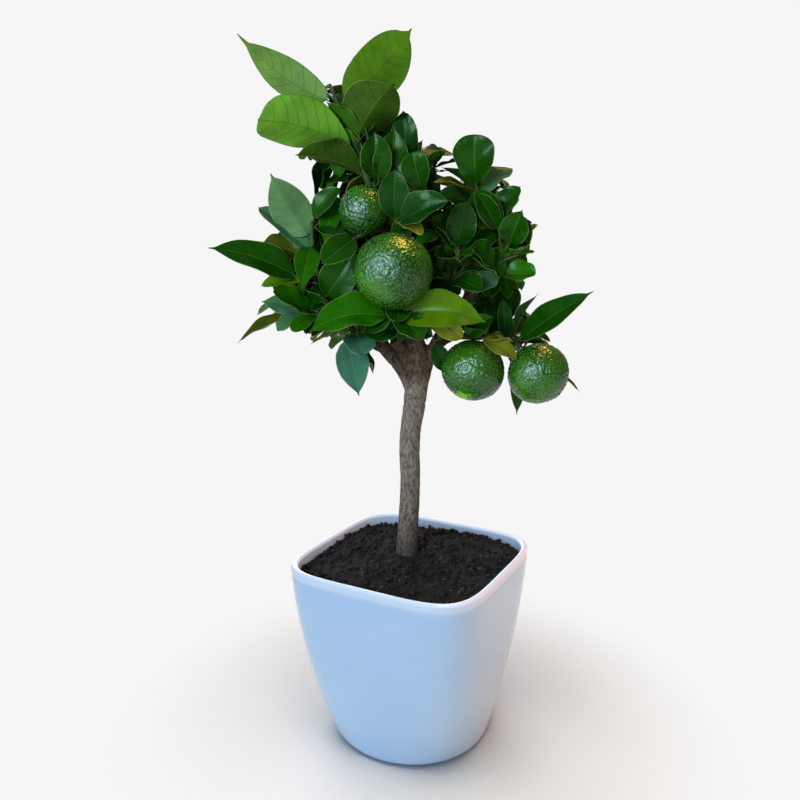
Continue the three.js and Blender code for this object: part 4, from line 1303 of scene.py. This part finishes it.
def make_green_bark():
    """Young citrus shoots: smooth green skin, in darker and lighter patches."""
    material, tree, surface, place = start_material("green shoot bark", Roughness=0.6)
    patches = add_node(tree, "TexNoise", {"Vector": place, "Scale": 1000 / 8, "Detail": 4})
    tone = add_node(tree, "ValToRGB", {"Fac": patches.outputs["Fac"]},
                    ramp=[(0.4, "#26420F"), (0.62, "#4C6226")])
    tree.links.new(tone.outputs["Color"], surface.inputs["Base Color"])
    return material


leaf_materials = {kind: [make_leaf_part(kind, part, code) for part, code in zip(LEAF_PARTS, codes)]
                  for kind, codes in LEAF_KINDS.items()}
green_bark = make_green_bark()
masses = [Mass(name, plan) for name, plan in MASSES.items()]
for mass in masses:
    mass.start()
fruit = [(centre, radius) for mass in masses for _, centre, radius, _ in mass.plan.get("fruit", [])]
shown_fruit = [(centre, radius) for centre, radius in fruit if centre[1] < 0]
view = View([leaf for mass in masses for leaf in mass.leaves], shown_fruit)
for mass in masses:
    for index in range(mass.plan["twigs"]):
        mass.grow_twig(index, view)
balls = [(centre, radius + FRUIT_GAP) for centre, radius in fruit]
for bough, (_, foot, tip) in BOUGHS.items():
    balls += [(limb_paths[bough].at(share), mix(foot, tip, share) + BOUGH_GAP)
              for share in np.linspace(0, 1, 16)]
balls += [(trunk_line.at(share), TRUNK_RADIUS + TRUNK_GAP) for share in np.linspace(0.5, 1, 12)]
crowd = Crowd([leaf for mass in masses for leaf in mass.leaves], balls)
for mass in masses:
    mass.grow_sprigs(crowd, view)
for mass in masses:
    kinds = sorted({leaf.kind for leaf in mass.leaves})
    finishes = [material for kind in kinds for material in leaf_materials[kind]]
    grow_leaves(mass, kinds).piece("leaves_" + mass.name, finishes, "foliage", [mass.node])
    grow_twigs(mass).piece("twigs_" + mass.name, [green_bark], "foliage", [mass.node])

# The fruit, limes still green: a leathery peel pebbled by its oil glands, with a yellow spot at the
# tip of some, and a small star of sepals at the stalk. Each grows on its stalk, off a stem.
FRUIT_FLATNESS = 0.95
FRUIT_COLUMNS, FRUIT_ROWS = 144, 90
FRUIT_STALK = 1.2
PEBBLE = 2.2  # from one bump of the peel to the next
PEBBLE_RELIEF = 0.9
SEPALS = 5
SEPAL_REACH = (0.6, 3.1)
SEPAL_OUTLINE = ((0, 0.9), (0.35, 1.3), (0.7, 0.8), (1, 0.15))  # half widths along it
SEPAL_THICK = 0.6
GREEN, STALK, YELLOW, TURNING = range(4)  # finishes of a fruit, in the order of their materials


def fruit_points(radius, seed):
    """A flattened ball with soft shoulders, low ribs at the stalk, a blunt tip and pebbled peel."""
    heights = np.linspace(0.004, np.pi - 0.004, FRUIT_ROWS)
    angles = np.linspace(0, 2 * np.pi, FRUIT_COLUMNS, endpoint=False)
    rings = []
    for polar in heights[::-1]:
        ring = []
        for angle in angles:
            across = math.sin(polar)
            out = Vector((across * math.cos(angle), across * math.sin(angle), math.cos(polar)))
            place = out * radius / PEBBLE + Vector((seed * 7.3, 0, 0))
            cell = noise.voronoi(place)[0]
            pebble = PEBBLE_RELIEF * (0.55 - cell[0])
            swell = 0.018 * radius * noise.noise(out * 1.6 + Vector((0, seed, 0)))
            dimple = -0.07 * radius * math.exp(-(polar / 0.22) ** 2)
            ribs = 0.012 * radius * math.cos(7 * angle) * math.exp(-((polar - 0.32) / 0.22) ** 2)
            tip = 0.035 * radius * math.exp(-((math.pi - polar) / 0.16) ** 2)
            reach = radius - 0.35 + pebble + swell + dimple + ribs + tip
            ring.append((out.x * reach, out.y * reach, out.z * reach * FRUIT_FLATNESS))
        rings.append(ring)
    return np.array(rings)


def sepal_rings(radius, index):
    """One pointed sepal, flat on the fruit's shoulder."""
    angle = 2 * math.pi * index / SEPALS
    out = Vector((math.cos(angle), math.sin(angle), 0))
    side = Vector((-math.sin(angle), math.cos(angle), 0))
    up = Vector((0, 0, SEPAL_THICK / 2))
    rings = []
    for share, half in SEPAL_OUTLINE:
        centre = out * mix(*SEPAL_REACH, share)
        centre.z = radius * FRUIT_FLATNESS * 0.945 + 0.35 * share
        left, right = centre + side * half, centre - side * half
        rings.append([left + up, right + up, right - up, left - up])
    return np.array(rings)


def peel_tones(yellow, seed):
    """The tone of each face of the peel, from the tip: yellow, then turning, then green."""
    tones = []
    for row in range(FRUIT_ROWS - 1):
        for column in range(FRUIT_COLUMNS):
            angle = 2 * math.pi * column / FRUIT_COLUMNS
            place = Vector((2 * math.cos(angle), 2 * math.sin(angle), row / 3 + seed))
            edge = yellow * (1 + 0.5 * noise.noise(place))
            tones.append(YELLOW if row < 0.6 * edge else TURNING if row < edge else GREEN)
    return tones + [YELLOW if yellow else GREEN, GREEN]


def make_peel(name, dark, light):
    """Lime peel: waxy, so it glints where it is wrinkled, with paler pits over its oil glands."""
    material, tree, surface, place = start_material(name, Roughness=0.2, IOR=1.5,
                                                    Specular_IOR_Level=0.36)
    patches = add_node(tree, "TexNoise", {"Vector": place, "Scale": 1000 / 26, "Detail": 3})
    tone = add_node(tree, "ValToRGB", {"Fac": patches.outputs["Fac"]}, ramp=[(0.35, dark), (0.7, light)])
    pits = add_node(tree, "TexVoronoi", {"Vector": place, "Scale": 1000 / 1.3})
    pit = add_node(tree, "MapRange", {"Value": pits.outputs["Distance"], "From Min": 0.1,
                                      "From Max": 0.5})
    peel = add_node(tree, "Mix", {"Factor": pit.outputs["Result"], "A": linear("#2E600F"),
                                  "B": tone.outputs["Color"]}, data_type="RGBA")
    wrinkles = add_node(tree, "TexNoise", {"Vector": place, "Scale": 1000 / 2.1, "Detail": 1})
    finish_surface(tree, surface, peel.outputs["Result"], wrinkles.outputs["Fac"], 0.85, 0.9)
    return material


def grow_fruit(mass, number, share, centre, radius, yellow):
    """A fruit, with its sepals and its stalk from the mass's stem, as one mesh."""
    foot = mass.stem.at(share)
    upward = Vector(foot - centre).normalized()
    turn = np.array(Vector((0, 0, 1)).rotation_difference(upward).to_matrix())
    heap = Heap()
    heap.add(fruit_points(radius, mass.plan["seed"] + number) @ turn.T + centre,
             ring_faces(FRUIT_ROWS, FRUIT_COLUMNS), peel_tones(yellow, number))
    for index in range(SEPALS):
        heap.add_rings(sepal_rings(radius, index) @ turn.T + centre, STALK)
    heap.add_rings(tube(Path([foot, centre]), lambda share: FRUIT_STALK, 8, 6), STALK)
    return heap


fruit_finishes = [
    make_peel("lime peel", "#0E2A07", "#264C0A"),
    green_bark,
    make_peel("yellow lime peel", "#4A7A10", "#86A01A"),
    make_peel("lime peel turning yellow", "#2C5E0A", "#4C800E"),
]
limes = []
for mass in masses:
    for number, plan in enumerate(mass.plan.get("fruit", []), 1):
        lime = grow_fruit(mass, number, *plan)
        name = f"lime_{mass.name}_{number}"
        limes.append(lime.piece(name, fruit_finishes, "foliage", [mass.node]))

# The lamp and the window once more, on the fruit alone, whose wrinkled peel glints more than the
# leaves do.
place_lamp("lamp_on_limes", (200, 160, 1100), (0, 0, 350), (560, 360), "#FFCC58", 17, only=limes)
place_lamp("window_on_limes", (-620, -900, 620), (0, 0, 320), (1900, 1300), "#C2DCFF", 50, only=limes)
